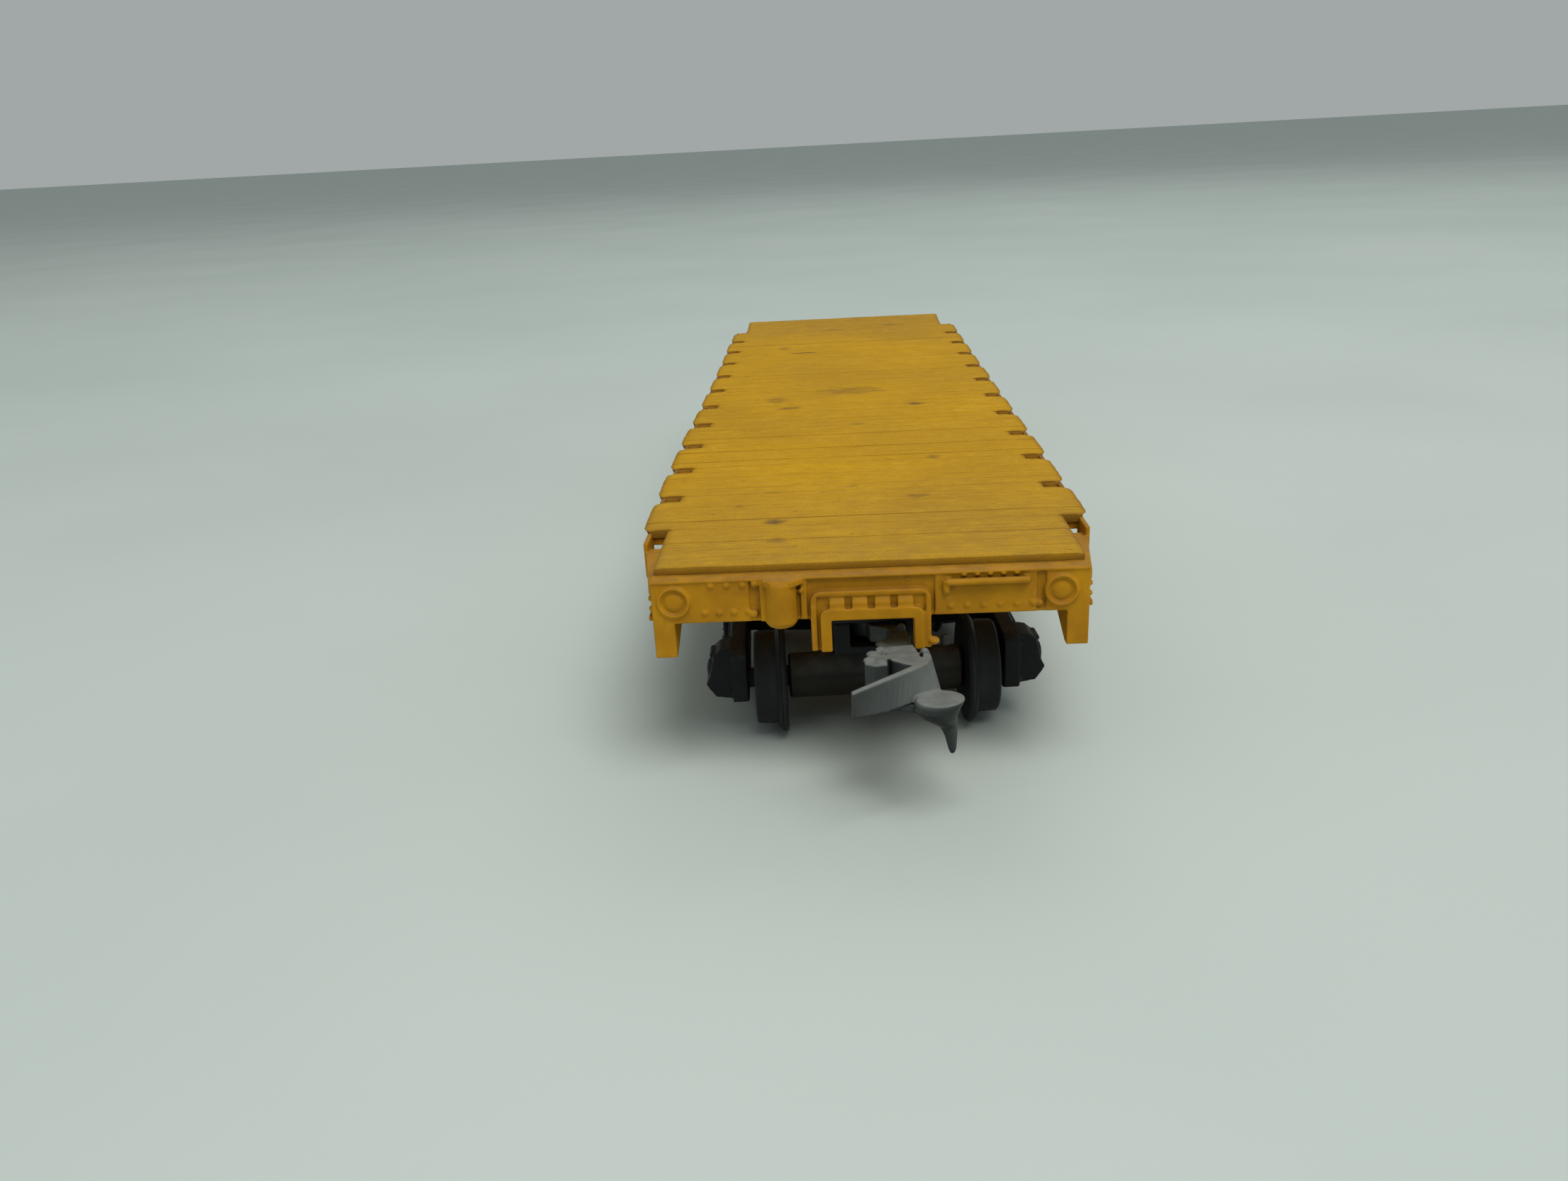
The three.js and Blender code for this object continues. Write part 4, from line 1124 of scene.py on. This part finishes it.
def coupler_finger(bm):
    """The thin centring finger, with a small block at its tip."""
    strip = [(0.8, -4.1), (3.9, -5.3), (4.2, -5.2), (4.0, -4.9), (0.8, -3.6)]
    prism(bm, strip, "z", (9.3, 9.9))
    block = [(4.2, -5.0), (4.8, -5.0), (4.8, -5.6), (4.2, -5.6)]
    prism(bm, block, "z", (9.25, 10.1))


def dent(mesh, centre, radius, depth):
    """Presses a round hollow down into a mesh."""
    centre = Vector(centre)
    for vertex in mesh.vertices:
        away = (vertex.co - centre).length
        if away < radius * 2.5:
            vertex.co.z -= depth * math.exp(-((away / radius) ** 2))


def build_couplers():
    bm = bmesh.new()
    for part in (coupler_shank, coupler_head, coupler_horn, coupler_knob, coupler_finger):
        part(bm)
    mesh = moulded(bm, 0.055, softening=20, keep=0.7)
    dent(mesh, (-1.2, -9.6, HEAD_TOP), 0.26, 0.3)
    for end in "ab":
        node = f"coupler_{end}"
        place(f"hook_{end}", mesh, coupler_frame_of(end), coupler_material, node, [node])


# ---------- CAD nodes that stay
def soften_node(node, material, width):
    """Keeps a CAD node, welds its corners, merges flat facets and rounds its edges."""
    obj = frame["nodes"][node]
    obj.data.materials.clear()
    obj.data.materials.append(material)
    weld = obj.modifiers.new("weld", "WELD")
    weld.merge_threshold = 0.002 * MM
    flatten = obj.modifiers.new("flatten", "DECIMATE")
    flatten.decimate_type = "DISSOLVE"
    flatten.angle_limit = math.radians(1)
    round_off = obj.modifiers.new("round_off", "BEVEL")
    round_off.width = width * MM
    round_off.segments = 2
    round_off.limit_method = "ANGLE"


def finish_kept_nodes():
    soften_node("underframe", frame_material, 0.08)
    soften_node("weight_plate", weight_material, 0.1)
    for end in "ab":
        soften_node(f"coupler_lid_{end}", truck_material, 0.06)
        soften_node(f"kingpin_{end}", pin_material, 0.08)
        soften_node(f"coupler_pin_{end}", pin_material, 0.08)


build_deck()
build_end_castings()
build_sides()
build_trucks()
build_wheelsets()
build_couplers()
finish_kept_nodes()


# ---------- floor, light and camera
FLOOR_HALF = 12.0  # metres
CEILING_COLOUR = (1.0, 0.985, 0.95)
WINDOW_COLOUR = (0.96, 0.98, 1.0)
ROOM_COLOUR = (0.86, 0.93, 0.92, 1.0)
ROOM_LEVEL, ROOM_OVERHEAD = 0.22, 0.58  # strength of the room's light from the sides and from above
BACKDROP = 0.42  # strength that the camera sees
CAMERA_PLACE = (-2.07, -144.77, 45.87)  # millimetres
CAMERA_PITCH, CAMERA_YAW, CAMERA_ROLL = -20.5, 2.87, -3.12  # degrees
CAMERA_LENS, CAMERA_SENSOR = 27.5, 36.0


def build_floor():
    """A plain pale table top, wide enough to reach the horizon on every side."""
    bm = bmesh.new()
    corners = ((-1, -1), (1, -1), (1, 1), (-1, 1))
    bm.faces.new([bm.verts.new((x * FLOOR_HALF, y * FLOOR_HALF, 0.0)) for x, y in corners])
    mesh = mesh_of(bm, "floor")
    mesh.materials.append(table_top())
    floor = bpy.data.objects.new("floor", mesh)
    scene.collection.objects.link(floor)


def area_light(name, place_m, target_m, size, power, colour):
    light = bpy.data.lights.new(name, "AREA")
    light.shape = "RECTANGLE"
    light.size, light.size_y = size
    light.energy = power
    light.color = colour
    obj = bpy.data.objects.new(name, light)
    obj.location = place_m
    obj.rotation_euler = (Vector(target_m) - Vector(place_m)).to_track_quat("-Z", "Y").to_euler()
    scene.collection.objects.link(obj)


def build_lights():
    area_light("ceiling", (0.19, -0.38, 0.85), (0, -0.03, 0), (0.55, 0.55), 5.4, CEILING_COLOUR)
    area_light("window", (0.2, 0.7, 0.7), (0, 0, 0), (0.6, 0.4), 1.0, WINDOW_COLOUR)
    scene.world = room_light()


def room_light():
    """Soft light that comes mostly from overhead. The camera itself sees an even pale backdrop."""
    world = bpy.data.worlds.new("room")
    world.use_nodes = True
    tree = world.node_tree
    background = tree.nodes["Background"]
    background.inputs["Color"].default_value = ROOM_COLOUR
    direction = new_node(tree, "TexCoord").outputs["Generated"]
    up = new_node(tree, "SeparateXYZ", {0: direction}).outputs["Z"]
    overhead = new_node(tree, "Math", {0: up, 1: up}, operation="MULTIPLY").outputs[0]
    strengths = {"Value": overhead, "To Min": ROOM_LEVEL, "To Max": ROOM_OVERHEAD}
    spread = new_node(tree, "MapRange", strengths).outputs[0]
    camera_ray = new_node(tree, "LightPath").outputs["Is Camera Ray"]
    seen = new_node(tree, "Mix", {"Factor": camera_ray, "A": spread, "B": BACKDROP}).outputs[0]
    tree.links.new(seen, background.inputs["Strength"])
    return world


def build_camera():
    camera = bpy.data.cameras.new("camera")
    camera.sensor_width = CAMERA_SENSOR
    camera.sensor_fit = "HORIZONTAL"
    camera.lens = CAMERA_LENS
    camera.clip_start = 0.005
    obj = bpy.data.objects.new("camera", camera)
    yaw = Matrix.Rotation(math.radians(CAMERA_YAW), 4, "Z")
    pitch = Matrix.Rotation(math.radians(90 + CAMERA_PITCH), 4, "X")
    roll = Matrix.Rotation(math.radians(CAMERA_ROLL), 4, "Z")
    obj.matrix_world = Matrix.Translation(Vector(CAMERA_PLACE) * MM) @ yaw @ pitch @ roll
    scene.collection.objects.link(obj)
    scene.camera = obj


build_floor()
build_lights()
build_camera()
scene.view_settings.view_transform = "Standard"
